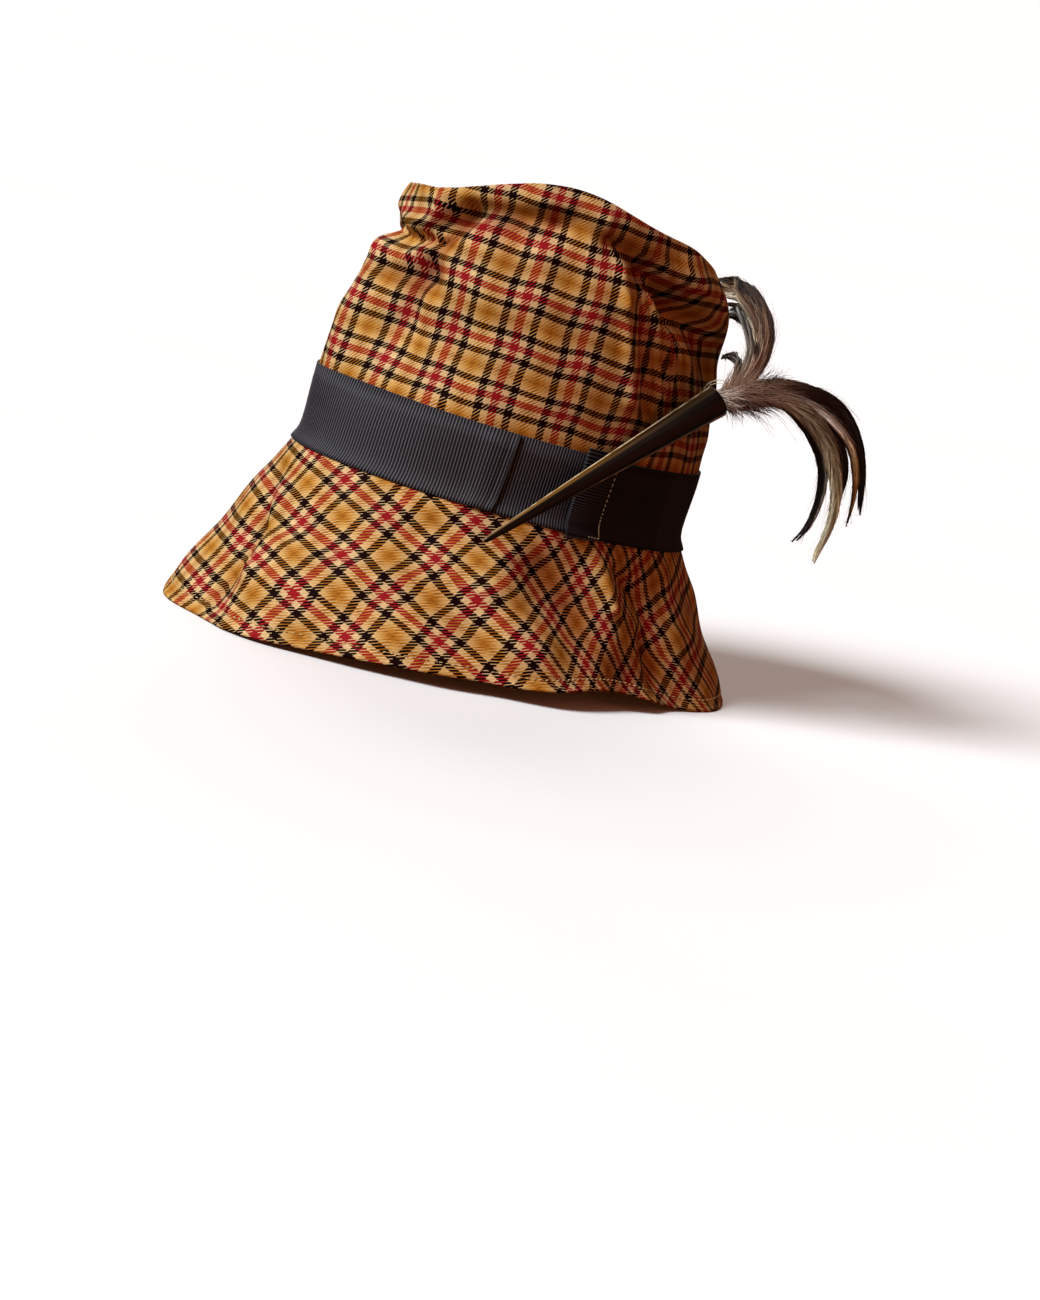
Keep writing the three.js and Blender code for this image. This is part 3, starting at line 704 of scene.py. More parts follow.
def polished_horn():
    """Dark horn: U goes round it and V along. A bronze band, partly painted sheen, a painted highlight line
    and a painted reflection line run from the tip.
    """
    gloss = dict(Specular_IOR_Level=0.12, Coat_Weight=0.14, Coat_Roughness=0.07)
    material, tree, shader = new_finish("polished_horn", **gloss)
    u, v = cloth_uv(tree)
    grain = vector_of(tree, calc(tree, "MULTIPLY", u, 26.0), calc(tree, "MULTIPLY", v, 2.2))
    streak = noise(tree, grain, 1.0, 4.0)
    flecks = vector_of(tree, calc(tree, "MULTIPLY", u, 60.0), calc(tree, "MULTIPLY", v, 26.0))
    broken = noise(tree, flecks, 1.0)

    def line_at(middle, near, far):
        off = calc(tree, "ABSOLUTE", calc(tree, "SUBTRACT", u, middle))
        return span(tree, off, near, far, 1.0, 0.0, "SMOOTHSTEP")

    dark = ramp(tree, streak, [(0.32, paint("#050302")), (0.55, paint("#0e0805")), (0.75, paint("#20140b"))])
    # The bronze band is partly the horn's own lighter streak and partly painted sheen on the side toward the
    # light; it fades toward the mouth.
    bronze = ramp(tree, streak, [(0.3, paint("#291a0a")), (0.7, paint("#8a5f28"))])
    # Painted highlight along the upper edge and painted reflection along the lower edge, broken by flecks.
    bright = ramp(tree, broken, [(0.4, paint("#8a6a3c")), (0.6, paint("#fbe3b8"))])
    toward_tip = span(tree, v, 0.3, 0.8, 1.0, 0.12, "SMOOTHSTEP")
    upper_painted_highlight = calc(tree, "MULTIPLY", line_at(0.228, 0.008, 0.026), span(tree, v, 0.5, 0.85, 1.0, 0.25))
    lower_painted_reflection = calc(tree, "MULTIPLY", line_at(0.62, 0.006, 0.018), span(tree, v, 0.3, 0.5, 0.1, 0.9))
    colour = blend(tree, calc(tree, "MULTIPLY", line_at(0.285, 0.02, 0.085), toward_tip), dark, bronze)
    colour = blend(tree, calc(tree, "MAXIMUM", upper_painted_highlight, lower_painted_reflection), colour, bright)
    tree.links.new(colour, shader.inputs["Base Color"])
    tree.links.new(span(tree, streak, 0.3, 0.7, 0.24, 0.46), shader.inputs["Roughness"])
    lift = add_node(tree, "ShaderNodeBump", {"Height": streak, "Strength": 0.3, "Distance": 0.0004})
    tree.links.new(lift.outputs[0], shader.inputs["Normal"])
    return material


def feather_finish():
    """Feather barbs: the mesh's own tint, broken by fine grain in Object space."""
    material, tree, shader = new_finish("feather", Specular_IOR_Level=0.25)
    tint = add_node(tree, "ShaderNodeVertexColor", layer_name="tint").outputs[0]
    place = add_node(tree, "ShaderNodeTexCoord").outputs["Object"]
    grain = span(tree, noise(tree, place, 900.0), 0.3, 0.7, 0.8, 1.18)
    colour = blend(tree, 1.0, tint, vector_of(tree, grain, grain, grain), "MULTIPLY")
    tree.links.new(colour, shader.inputs["Base Color"])
    tree.links.new(span(tree, grain, 0.8, 1.18, 0.48, 0.66), shader.inputs["Roughness"])
    return material


def sewing_thread(name, dark, pale):
    """Thread with a twist along it, between a dark and a pale colour."""
    material, tree, shader = new_finish(name)
    place = add_node(tree, "ShaderNodeTexCoord").outputs["Object"]
    twist = noise(tree, place, 1600.0)
    colour = ramp(tree, twist, [(0.3, paint(dark)), (0.7, paint(pale))])
    tree.links.new(colour, shader.inputs["Base Color"])
    tree.links.new(span(tree, twist, 0.3, 0.7, 0.5, 0.75), shader.inputs["Roughness"])
    return material


CLOTH_FINISH = checked_cloth()
RIBBON_FINISH = grosgrain()
HORN_FINISH = polished_horn()
FEATHER_FINISH = feather_finish()
THREAD_FINISH = sewing_thread("sewing_thread", "#8f7d62", "#d3c3a2")
HEM_THREAD_FINISH = sewing_thread("hem_thread", "#a98544", "#e3c98f")


# Cloth pieces

def arc_at(place, angles, zero_angle):
    """Length round the smooth hat at one place, from one angle, by the sum of short chords."""
    fine = np.linspace(-180, 180, 1441)
    edge = crown_point(fine, np.full_like(fine, place), False)
    steps = np.linalg.norm(np.diff(edge, axis=0), axis=-1)
    length = np.concatenate([[0], np.cumsum(steps)])
    return np.interp(angles, fine, length) - np.interp(zero_angle, fine, length)


def summed(steps, axis, zero):
    """Running sum of the steps along an axis, counted from one row or column."""
    total = np.insert(np.cumsum(steps, axis), 0, 0, axis)
    return total - np.take(total, [zero], axis)


def taken_up(angles, places, zero_angle):
    """Cloth that the creases take up along each row: creased length less smooth length, from one angle."""
    angle, place = np.meshgrid(angles, places)
    creased = np.linalg.norm(np.diff(hat_point(angle, place), axis=1), axis=-1)
    smooth = np.linalg.norm(np.diff(hat_point(angle, place, False), axis=1), axis=-1)
    return summed(creased - smooth, 1, np.argmin(np.abs(angles - zero_angle)))


def crown_cloth(angles, places):
    """Check on the crown: U by length round the band, V by height, in repeats.

    U adds the cloth that creases take up. V adds the length that the wall runs in, in full at the rim."""
    upward = np.array([0, math.sin(CROWN_LEAN), math.cos(CROWN_LEAN)])
    steps = np.diff(crown_point(angles[None, :], places[:, None], False), axis=0)
    rise = steps @ upward
    inward = np.linalg.norm(steps - rise[..., None] * upward, axis=-1)
    folded = np.maximum(0.6 * bump(turn_from(-10, angles), 40), smooth_step(places[1:, None], 4.8, 5.4))
    counted = 0.3 + 0.7 * folded
    up = summed(np.hypot(rise, counted * inward), 0, np.argmin(np.abs(places - 2.0)))
    across = arc_at(2.0, angles, CROWN_SETT["grain_at"]) / (1 + CROWN_SETT["ease"] * np.maximum(up, 0))
    across = across + taken_up(angles, places, CROWN_SETT["grain_at"])
    across = across + CRUMPLE["drift"] * crumple(angles[None, :], up, SEEDS["crown_across"])
    up = up + CRUMPLE["drift"] * crumple(angles[None, :], up, SEEDS["crown_up"])
    u = (across - CROWN_SETT["red_across"]) / CROWN_SETT["across"]
    v = (up - CROWN_SETT["red_up"]) / CROWN_SETT["up"]
    return np.stack([u, v], -1)


def brim_cloth(angles, places):
    """Check on the brim: the cone laid flat, straight in the grain near the front, in repeats.

    The length round it adds the cloth that creases take up and the cloth drawn in at the left side."""
    steps = np.linalg.norm(np.diff(hat_point(angles[None, :], places[:, None]), axis=0), axis=-1)
    down = -summed(steps, 0, np.argmin(np.abs(places)))
    side = arc_at(0.0, angles, DRAWN_IN["start"]) * smooth_step(angles, DRAWN_IN["start"], DRAWN_IN["full"])
    length = arc_at(0.0, angles, 0.0) + taken_up(angles, places, 0.0) + DRAWN_IN["share"] * side
    turn = length / BRIM_SETT["radius"] + BRIM_SETT["turn"]
    across = (BRIM_SETT["radius"] + down) * np.sin(turn)
    out = (BRIM_SETT["radius"] + down) * np.cos(turn)
    across = across + CRUMPLE["drift"] * crumple(angles[None, :], down, SEEDS["brim_across"])
    out = out + CRUMPLE["drift"] * crumple(angles[None, :], down, SEEDS["brim_up"])
    u = (across - BRIM_SETT["red_across"]) / BRIM_SETT["across"]
    v = (BRIM_SETT["red_up"] - out) / BRIM_SETT["up"]
    return np.stack([u, v], -1)


def mark_folds(wall, angle, place, share):
    """Attribute fold of a wall: how far the creases sink its outer points in millimetres, times a share; it
    sets the cloth's painted shade in its folds.
    """
    sunk = hat_point(angle, place, False) - hat_point(angle, place)
    depth = share * (sunk * outward(angle, place)).sum(-1)
    folds = np.zeros(len(wall.data.vertices), np.float32)
    folds[:depth.size] = np.maximum(depth, 0).ravel()
    wall.data.attributes.new("fold", "FLOAT", "POINT").data.foreach_set("value", folds)


def crown_side():
    """Crown wall from the waist to the rim, with its top edge rolled over the seam."""
    angles = np.linspace(-180, 180, 481)
    places = np.linspace(1 + WAIST_GAP, 6, 111)
    inner_places = places[::3]
    uv = crown_cloth(angles, places)
    angle = angles[None, :-1]
    outer = hat_point(angle, places[:, None])
    inner = hat_point(angle, inner_places[:, None])
    inner -= CLOTH * outward(angle, inner_places[:, None] + np.zeros_like(angle))
    all_uv = np.concatenate([uv, uv[::3][::-1]])
    wall = ring_wall("crown_side", outer, inner, all_uv, CLOTH_FINISH, ["crown_side"])
    mark_folds(wall, angle, places[:, None] + np.zeros_like(angle), FOLD_SHADE["crown"])
    return wall


def crown_tip():
    """Top of the crown: rings shrinking from inside the rim to a middle that dips."""
    angles = np.linspace(-180, 180, 241)
    angle = angles[:-1]
    edge_place = np.full_like(angle, TIP["edge"])
    low_place = np.full_like(angle, TIP["low"])
    hang = CLOTH + GAP
    edge = hat_point(angle, edge_place) - hang * outward(angle, edge_place)
    low = hat_point(angle, low_place) - hang * outward(angle, low_place)
    middle = lean(0.0, 0.0, TIP["middle"])
    share = np.linspace(0, 0.985, 26)[:, None]
    top = edge[None] + (middle - edge)[None] * share[..., None]
    top[..., 2] = edge[None, :, 2] + (middle[2] - edge[None, :, 2]) * (1 - (1 - share) ** TIP["dish"])
    under = top.copy()
    under[..., 2] -= TIP["thick"]
    under[0] = low
    flat = np.concatenate([under[::-1], top])
    rows, columns = flat.shape[:2]
    quads = quad_grid(rows, columns, False, True)[0]
    points = np.concatenate([flat.reshape(-1, 3), [middle - [0, 0, TIP["thick"]], middle]])
    k = np.arange(columns)
    beside = (k + 1) % columns
    last = (rows - 1) * columns
    bottom_fan = np.stack([np.full(columns, rows * columns), beside, k], 1)
    top_fan = np.stack([last + k, last + beside, np.full(columns, rows * columns + 1)], 1)
    spread = points[:, :2] / np.array([CROWN_SETT["across"], CROWN_SETT["up"]])
    faces = [quads, bottom_fan, top_fan]
    corner_uv = np.concatenate([spread[part.ravel()] for part in faces])
    return mesh_piece("crown_tip", points, faces, CLOTH_FINISH, ["crown_tip"], corner_uv)


def brim():
    """Brim wall from the edge to the waist, with a rolled hem and a shallow sewn line above it."""
    angles = np.linspace(-180, 180, 721)
    hem_places = np.linspace(-1, -0.86, 15)
    slope_places = np.linspace(-0.86, 0, 40)[1:]
    places = np.concatenate([hem_places, slope_places, [0.3, 0.65, 1 - WAIST_GAP]])
    uv = brim_cloth(angles, places)
    angle = angles[None, :-1]
    place = places[:, None] + np.zeros_like(angle)
    away = outward(angle, place)
    from_edge = (1 + places) * BRIM_SLOPE
    outer = hat_point(angle, place) + relief(from_edge, HEM_RELIEF)[:, None, None] * away
    outer[..., 2] = np.maximum(outer[..., 2], 0)
    step = slice(None, None, 3)
    inner = (hat_point(angle, place) - CLOTH * away)[step]
    turn = np.radians(angles[:-1])
    inward = np.stack([-np.sin(turn), np.cos(turn), np.zeros_like(turn)], -1)
    inner[0] = outer[0] + inward * CLOTH * 1.3
    all_uv = np.concatenate([uv, uv[step][::-1]])
    wall = ring_wall("brim", outer, inner, all_uv, CLOTH_FINISH, ["brim"])
    mark_folds(wall, angle, place, FOLD_SHADE["brim"])
    return wall


# Ribbon pieces

def ribbon_piece(name, angles, places, under, ribs, ribs_across=True, raised=None, slant=0.0):
    """A ribbon over the hat: a sheet between two distances, with half-round ribs on its outer face.

    Its outer face is the inner distance plus the ribbon, less a third of it between the ribs. A slant turns
    its far end by that many degrees for each place up from the middle."""
    angle, place = np.meshgrid(angles, places)
    turned = angle + slant * (place - 1) * smooth_step(angle, angles[-1] - 16, angles[-1])
    away = outward(turned, place)
    cloth = hat_point(turned, place)
    low = under(angle)
    along = (angle - angles[0]) / (angles[-1] - angles[0])
    upward = (place - places[0]) / (places[-1] - places[0])
    rib = ribs * (along if ribs_across else upward)
    thick = RIBBON * (1 - RIB_DEEP + RIB_DEEP * (0.5 + 0.5 * np.cos(2 * math.pi * rib)))
    if raised is not None:
        thick = thick + raised(angle)
    outer = cloth + away * (low + thick)[..., None]
    inner = cloth + away * low[..., None]
    across = place * BAND_RISE if ribs_across else angle * BAND_DEGREE
    return strip_wall(name, outer, inner, np.stack([rib, across], -1), RIBBON_FINISH, [name])


def ribbons():
    """The band, the bow's two wings and the tab over its middle, each as far off the cloth as its solid."""
    rows = np.linspace(0.03, 2, 9)
    lip = LIP_AT + 360

    def lengthways(name, start, end, under, raised=None, slant=0.0):
        ribs = int((end - start) * BAND_DEGREE / RIB)
        ribbon_piece(name, np.linspace(start, end, ribs * 6 + 1), rows, under, ribs, True, raised, slant)

    def band_lift(angle):
        return GAP + smooth_step(angle, lip - 12, lip - 6) * (RIBBON + GAP)

    def rolled_lip(angle):
        return relief(angle - lip, LIP_RELIEF)

    def level(height):
        return lambda angle: np.full_like(angle, height)

    lengthways("ribbon_band", BAND_END, lip, band_lift, rolled_lip, LIP_SLANT)
    lengthways("bow_left", LIP_AT - 5, TAB_TO - 4, level(GAP))
    lengthways("bow_right", TAB_FROM + 8, WING_END, level(2 * GAP + RIBBON))
    tab_ribs = int((TAB_HIGH - TAB_LOW) * TAB_RISE / RIB)
    tab_rows = np.linspace(TAB_LOW, TAB_HIGH, tab_ribs * 6 + 1)
    tab_angles = np.linspace(TAB_FROM, TAB_TO, 26)
    ribbon_piece("bow_tab", tab_angles, tab_rows, level(TAB_UNDER), tab_ribs, False)


def tubes(lines, radius, sides):
    """Closed tubes round lines (count, stations, 3): rings square to each line, thinner at both ends."""
    count, stations = lines.shape[:2]
    run = unit(np.gradient(lines, axis=1))
    side = unit(np.cross(run, np.broadcast_to([0.3, 0.2, 0.93], run.shape)))
    up = np.cross(side, run)
    turn = np.linspace(0, 2 * math.pi, sides + 1)[:-1]
    ring = np.cos(turn)[:, None] * side[:, :, None] - np.sin(turn)[:, None] * up[:, :, None]
    share = np.linspace(-1, 1, stations)
    size = radius * (1 - 0.55 * share**4)
    points = lines[:, :, None] + ring * size[None, :, None, None]
    start = np.arange(count)[:, None] * stations * sides
    first = start + np.arange(sides)[None, ::-1]
    last = start + (stations - 1) * sides + np.arange(sides)[None, :]
    return points.reshape(-1, 3), [tube_faces(count, stations, sides), first, last]


def tab_stitches():
    """Stitches up the tab's back edge and along its lower corner: each is a short hump of thread."""
    long = 0.62
    step = np.linspace(0, long, 6)
    up_place = np.linspace(0.02, 1.98, 24)[:, None] + step * 0.085
    up_angle = np.full_like(up_place, TAB_TO - 0.55)
    foot_angle = np.linspace(TAB_TO - 4.5, TAB_TO - 1.2, 4)[:, None] + step * 0.8
    foot_place = np.full_like(foot_angle, 0.03)
    angle = np.concatenate([up_angle, foot_angle])
    place = np.concatenate([up_place, foot_place])
    hump = 0.32 * np.sin(math.pi * step / long)
    lines = hat_point(angle, place) + outward(angle, place) * (TAB_UNDER + RIBBON * 0.92 + hump)[..., None]
    points, faces = tubes(lines, 0.34, 6)
    return mesh_piece("tab_stitches", points, faces, THREAD_FINISH)


def hem_stitches():
    """Stitches round the brim above its hem: each is a short hump of thread along the edge."""
    count = 250
    long = 0.6
    step = np.linspace(0, long, 5)
    angle = (np.arange(count)[:, None] + step) * 360 / count
    place = np.full_like(angle, -1 + HEM / BRIM_SLOPE)
    hump = 0.3 * np.sin(math.pi * step / long) - 0.25
    lines = hat_point(angle, place) + outward(angle, place) * hump[None, :, None]
    points, faces = tubes(lines, 0.3, 5)
    return mesh_piece("hem_stitches", points, faces, HEM_THREAD_FINISH)


# Horn

HORN_TIP = np.array(HORN["tip"], float)
HORN_MOUTH = np.array(HORN["mouth"], float)
HORN_LONG = float(np.linalg.norm(HORN_MOUTH - HORN_TIP))
HORN_AXIS = (HORN_MOUTH - HORN_TIP) / HORN_LONG
HORN_WIDE = unit(np.cross([0.0, 0.0, 1.0], HORN_AXIS))
HORN_THIN = np.cross(HORN_AXIS, HORN_WIDE)


def horn_radius(share):
    """Radius of the horn's outside at a share of its length."""
    return HORN["tip_radius"] + (HORN["mouth_radius"] - HORN["tip_radius"]) * share**0.9


def horn_holder():
    """Horn: rings along its axis with shallow ridges, rounded at the mouth and bored inside."""
    sides = 64
    turn = np.linspace(0, 2 * math.pi, sides + 1)[:-1]
    out_share = np.concatenate([[0.004, 0.012], np.linspace(0.03, 0.985, 70), [0.995, 1.0]])
    out_radius = horn_radius(out_share)
    out_radius[0] *= 0.55
    out_radius[-1] -= 0.5
    bored = 1 - HORN_BORE / HORN_LONG
    in_share = np.array([0.998, 0.99, 0.96, bored])
    in_radius = horn_radius(in_share) - HORN["wall"]
    share = np.concatenate([out_share, in_share])
    radius = np.concatenate([out_radius, in_radius])[:, None]
    ridges = 1 + 0.012 * np.cos(9 * turn)[None, :] * smooth_step(share, 0.1, 0.5)[:, None]
    ridges = ridges + 0.008 * np.sin(23 * turn + 9 * share[:, None])
    ring = np.cos(turn)[:, None] * HORN_WIDE + np.sin(turn)[:, None] * HORN_THIN
    along = HORN_TIP + share[:, None, None] * HORN_AXIS * HORN_LONG
    rings = along + (radius * ridges)[..., None] * ring[None]
    rows = len(share)
    quads, corner_rows, corner_columns = quad_grid(rows, sides, False, True)
    points = np.concatenate([rings.reshape(-1, 3), [HORN_TIP, HORN_TIP + HORN_AXIS * HORN_LONG * bored]])
    k = np.arange(sides)
    beside = (k + 1) % sides
    first = np.stack([np.full(sides, rows * sides), beside, k], 1)
    last = (rows - 1) * sides + np.stack([k, beside, np.full(sides, sides + 1)], 1)
    uv = np.stack([corner_columns / sides, share[corner_rows]], -1).reshape(-1, 2)
    tip_uv = np.stack([np.stack([k, k + 1, k], 1) / sides, np.zeros((sides, 3))], -1).reshape(-1, 2)
    floor_uv = tip_uv + np.array([0.0, bored])
    faces = [quads, first, last]
    return mesh_piece("horn_holder", points, faces, HORN_FINISH, ["horn_holder"],
                      np.concatenate([uv, tip_uv, floor_uv]))


# Feathers

# Colouring of a hackle: down at its base, the middle and both edges of its blade early along it, the same
# late along it, and its tip.
DRESSES = {
    "umber": dict(
        down="#6f5444", tip="#171110",
        early=("#2c1e18", "#4a3528", "#3b2a20"),
        late=("#1a1412", "#33251c", "#241a15"),
    ),
    "brown": dict(
        down="#8a6a57", tip="#241913",
        early=("#54402f", "#78593f", "#664a36"),
        late=("#31231b", "#513a2b", "#402d22"),
    ),
    "streaked": dict(
        down="#8a6a57", tip="#2b2019",
        early=("#d9d3c9", "#3b2c22", "#a79e93"),
        late=("#c0a066", "#564026", "#a98b55"),
    ),
    "black": dict(
        down="#67493b", tip="#3f2e21",
        early=("#120d0c", "#1d1512", "#2a1d17"),
        late=("#0f0b0a", "#4f3827", "#2b1d15"),
    ),
    "straw": dict(
        down="#8a6a57", tip="#d0be96",
        early=("#66543b", "#b3a689", "#a09378"),
        late=("#6e5c3a", "#e2d9ba", "#d3c8a2"),
    ),
    "dark": dict(
        down="#6b5142", tip="#1d1614",
        early=("#2a1f19", "#3b2b21", "#574739"),
        late=("#1b1512", "#261c17", "#d8d4cc"),
    ),
    "fawn": dict(
        down="#8a6752", tip="#5d4736",
        early=("#513a2c", "#775a45", "#644836"),
        late=("#4f3a2c", "#856a52", "#a38b6e"),
    ),
    "cream": dict(
        down="#a58a77", tip="#c9b998",
        early=("#8a705b", "#bca68d", "#cdbca2"),
        late=("#b3a084", "#ece2cb", "#d9cbac"),
    ),
    "grey": dict(
        down="#8f7b69", tip="#8d867d",
        early=("#3a2f28", "#766a60", "#908579"),
        late=("#28211d", "#b0aaa2", "#d6d2cb"),
    ),
}

# Barbs on each side of a hackle, and the half width of its shaft
BARBS = 130
SHAFT = 0.4
RANDOM = np.random.default_rng(SEEDS["feathers"])


def shade_of(code):
    """Linear colour of a hex code as an array of three."""
    return np.array(paint(code)[:3])


def mixed(a, b, share):
    """A colour that goes from a to b, by a share for each point."""
    return a + (b - a) * share[..., None]


def on_way(points, share):
    """Smooth curve through points (n, 3) at shares of its length from 0 to 1."""
    points = np.asarray(points, float)
    stack = [np.broadcast_to(points[:, i].reshape((-1,) + (1,) * share.ndim), (len(points),) + share.shape)
             for i in range(3)]
    return np.stack([through(values, share * (len(points) - 1)) for values in stack], -1)


def way_frame(points, share, face_way):
    """Directions along a curve, across the blade and out of the blade's face."""
    ahead = unit(on_way(points, np.minimum(share + 0.01, 1)) - on_way(points, np.maximum(share - 0.01, 0)))
    side = unit(np.cross(np.broadcast_to(face_way, ahead.shape), ahead))
    return ahead, side, np.cross(ahead, side)


def needles(middle, up, half):
    """Three-sided needles along lines (count, stations, 3), closed at both ends."""
    count, stations = middle.shape[:2]
    run = unit(np.gradient(middle, axis=1))
    flank = unit(np.cross(up, run))
    corners = np.stack([
        middle - flank * half[..., None],
        middle + flank * half[..., None],
        middle + up * (half * 0.6)[..., None],
    ], 2)
    base = np.arange(count)[:, None] * stations * 3
    ends = np.concatenate([base + [0, 2, 1], base + (stations - 1) * 3 + [0, 1, 2]])
    return corners.reshape(-1, 3), tube_faces(count, stations, 3), ends


def blade_half_width(share, half):
    """Half width of a hackle: swells over its first third and runs to a point."""
    return half * (0.45 + 0.55 * smooth_step(share, 0.0, 0.35)) * (1 - share**2.4) ** 0.8


def hackle(points, half, face_way, dress, barbs):
    """One hackle: barbs that leave a curved shaft at an acute slant and end on the blade's outline.

    A barb goes forward along the shaft by its slant while it goes out from 0 to 1 of the half width, and
    each is a closed needle. Colour goes by how far out and how far along the barb is."""
    count = barbs * 2
    root = np.repeat(np.linspace(0.02, 0.97, barbs), 2) + RANDOM.normal(0, 0.004, count)
    way = np.tile([-1.0, 1.0], barbs)
    slant = 0.24 * (1 - 0.5 * root) * RANDOM.uniform(0.8, 1.2, count)
    loose = RANDOM.random(count) > 0.93
    reach = RANDOM.uniform(0.78, 1.06, count)
    rise = RANDOM.normal(0, 0.22, count) + loose * RANDOM.normal(0, 1.4, count)
    step = np.array([0.0, 0.25, 0.5, 0.75, 1.0])
    out = 1 - (1 - step) ** 1.5
    share = np.clip(root[:, None] + slant[:, None] * step, 0, 1)
    ahead, side, up = way_frame(points, share, face_way)
    stray = loose * RANDOM.uniform(0.4, 2.6, count)
    across = (blade_half_width(share, half) * reach[:, None] + stray[:, None] * out) * way[:, None] * out
    lift = rise[:, None] * out + 0.14 * half * (1 - out**2)
    middle = on_way(points, share) + side * across[..., None] + up * lift[..., None]
    thick = np.where(loose, 0.12, 0.34)[:, None] * (1 - 0.75 * step)
    corners, quads, ends = needles(middle, up, thick)
    to_edge = smooth_step(out[None, :] + RANDOM.normal(0, 0.1, (count, 1)), 0.2, 0.8)
    right = np.repeat((way > 0)[:, None], len(step), 1)
    colours = []
    for centre, near, far in (dress["early"], dress["late"]):
        edge = np.where(right[..., None], shade_of(far), shade_of(near))
        colours.append(mixed(shade_of(centre), edge, to_edge))
    colour = mixed(colours[0], colours[1], smooth_step(share, 0.35, 0.72))
    colour = mixed(colour, shade_of(dress["tip"]), smooth_step(share, 0.86, 0.99))
    colour = mixed(colour, shade_of(dress["down"]), 1 - smooth_step(share, 0.1, 0.34))
    clump = np.repeat(RANDOM.uniform(0.5, 1.5, (barbs // 4 + 1, 2)), 4, 0)[:barbs].reshape(-1, 1, 1)
    colour = colour * clump * RANDOM.uniform(0.75, 1.25, (count, 1, 1))
    tint = np.repeat(colour[:, :, None], 3, 2).reshape(-1, 3)
    return corners, quads, ends, tint


def shaft_tube(points, thick, dress):
    """Shaft of a hackle: a needle along its curve, thinning to the tip."""
    share = np.linspace(0, 0.98, 26)
    line = on_way(points, share)[None]
    up = way_frame(points, share, np.array([1.0, 0.0, 0.0]))[2][None]
    corners, quads, ends = needles(line, up, (thick * (1 - 0.8 * share))[None])
    tint = np.tile(shade_of(dress["late"][0]), (len(corners), 1))
    return corners, quads, ends, tint


def joined(parts):
    """Many bodies as one: points stacked, and face numbers moved on by the points before them."""
    points, tints = [], []
    faces = {}
    before = 0
    for body_points, *body_faces, body_tint in parts:
        for part in body_faces:
            faces.setdefault(part.shape[1], []).append(part + before)
        points.append(body_points)
        tints.append(body_tint)
        before += len(body_points)
    return np.concatenate(points), [np.concatenate(f) for f in faces.values()], np.concatenate(tints)


def plume_part(name, rows, nodes):
    """Hackles of a table: copies of each lie side by side, each a little turned and shortened."""
    parts = []
    for row in rows:
        dress = DRESSES[row["dress"]]
        way = np.array(row["way"], float)
        share = np.linspace(0, 1, len(way))
        for copy in range(row["copies"]):
            place = (copy + 0.5) / row["copies"] - 0.5
            side = way_frame(way, share, np.array([1.0, 0.0, 0.0]))[1]
            parted = 0.3 * (1 - share) + 0.7 * np.sin(math.pi * share) + row["fan"] * share
            points = HORN_MOUTH + way + side * (place * row["half"] * parted)[:, None]
            points[:, 0] += RANDOM.normal(0, 1.0) * share
            points[-1] = points[-2] + (points[-1] - points[-2]) * RANDOM.uniform(0.7, 1.0)
            face_way = unit(np.array([1.0, RANDOM.normal(-0.2, 0.15), RANDOM.normal(0, 0.15)]))
            parts.append(hackle(points, row["half"] * RANDOM.uniform(0.75, 1.0), face_way, dress, BARBS))
            parts.append(shaft_tube(points, SHAFT, dress))
    points, faces, tint = joined(parts)
    return mesh_piece(name, points, faces, FEATHER_FINISH, nodes, None, tint)


# Down at the plume's base: how many strands, where along the axis they start, which way they flow, how far
# they spread from it, how long they are and their colour.
DOWN = [
    dict(name="cream", count=260, start=(-1, 6), way=(0.1, 0.95, 0.15), spread=0.5, long=(6, 13),
         colour="#dccbbb"),
    dict(name="arch down", count=620, start=(2, 24), way=(0.0, 0.98, 0.12), spread=0.28, long=(12, 26),
         colour="#8a6c5a"),
    dict(name="spray down", count=420, start=(4, 22), way=(-0.55, 0.6, 0.6), spread=0.3, long=(10, 22),
         colour="#8c6c58"),
    dict(name="black underside", count=300, start=(1, 26), way=(0.0, 0.8, -0.5), spread=0.5, long=(6, 13),
         colour="#1a1312"),
    dict(name="cut spikes", count=60, start=(26, 34), way=(-0.1, 0.75, 0.65), spread=0.3, long=(9, 15),
         colour="#3d2a20"),
]


def plume_down():
    """Down at the plume's base: needles that leave the axis by a ring, flow one way, curl and droop."""
    parts = []
    step = np.linspace(0, 1, 5)
    for row in DOWN:
        count = row["count"]
        start = RANDOM.uniform(*row["start"], count)
        turn = RANDOM.uniform(0, 2 * math.pi, count)
        ring = np.cos(turn)[:, None] * HORN_WIDE + np.sin(turn)[:, None] * HORN_THIN
        root = HORN_MOUTH + start[:, None] * HORN_AXIS * [1, 1, 0.55]
        root = root + ring * RANDOM.uniform(1, 5.5, count)[:, None]
        way = unit(np.array(row["way"]) + ring * RANDOM.uniform(0.2, 1, count)[:, None] * row["spread"])
        long = RANDOM.uniform(*row["long"], count)[:, None]
        curl = unit(np.cross(way, ring)) * RANDOM.normal(0, 0.22, count)[:, None]
        line = root[:, None] + way[:, None] * (long * step)[..., None]
        line = line + curl[:, None] * (long * step**2)[..., None]
        line[..., 2] -= long * 0.12 * step**2
        up = unit(np.cross(np.cross(way, [1.0, 0.0, 0.0]), way))[:, None] + np.zeros_like(line)
        half = 0.17 * (1 - 0.8 * step)[None, :] * np.ones((count, 1))
        corners, quads, ends = needles(line, up, half)
        colour = shade_of(row["colour"]) * RANDOM.uniform(0.6, 1.35, (count, 1))
        parts.append((corners, quads, ends, np.repeat(colour, 15, 0)))
    points, faces, tint = joined(parts)
    return mesh_piece("plume_down", points, faces, FEATHER_FINISH, (), None, tint)


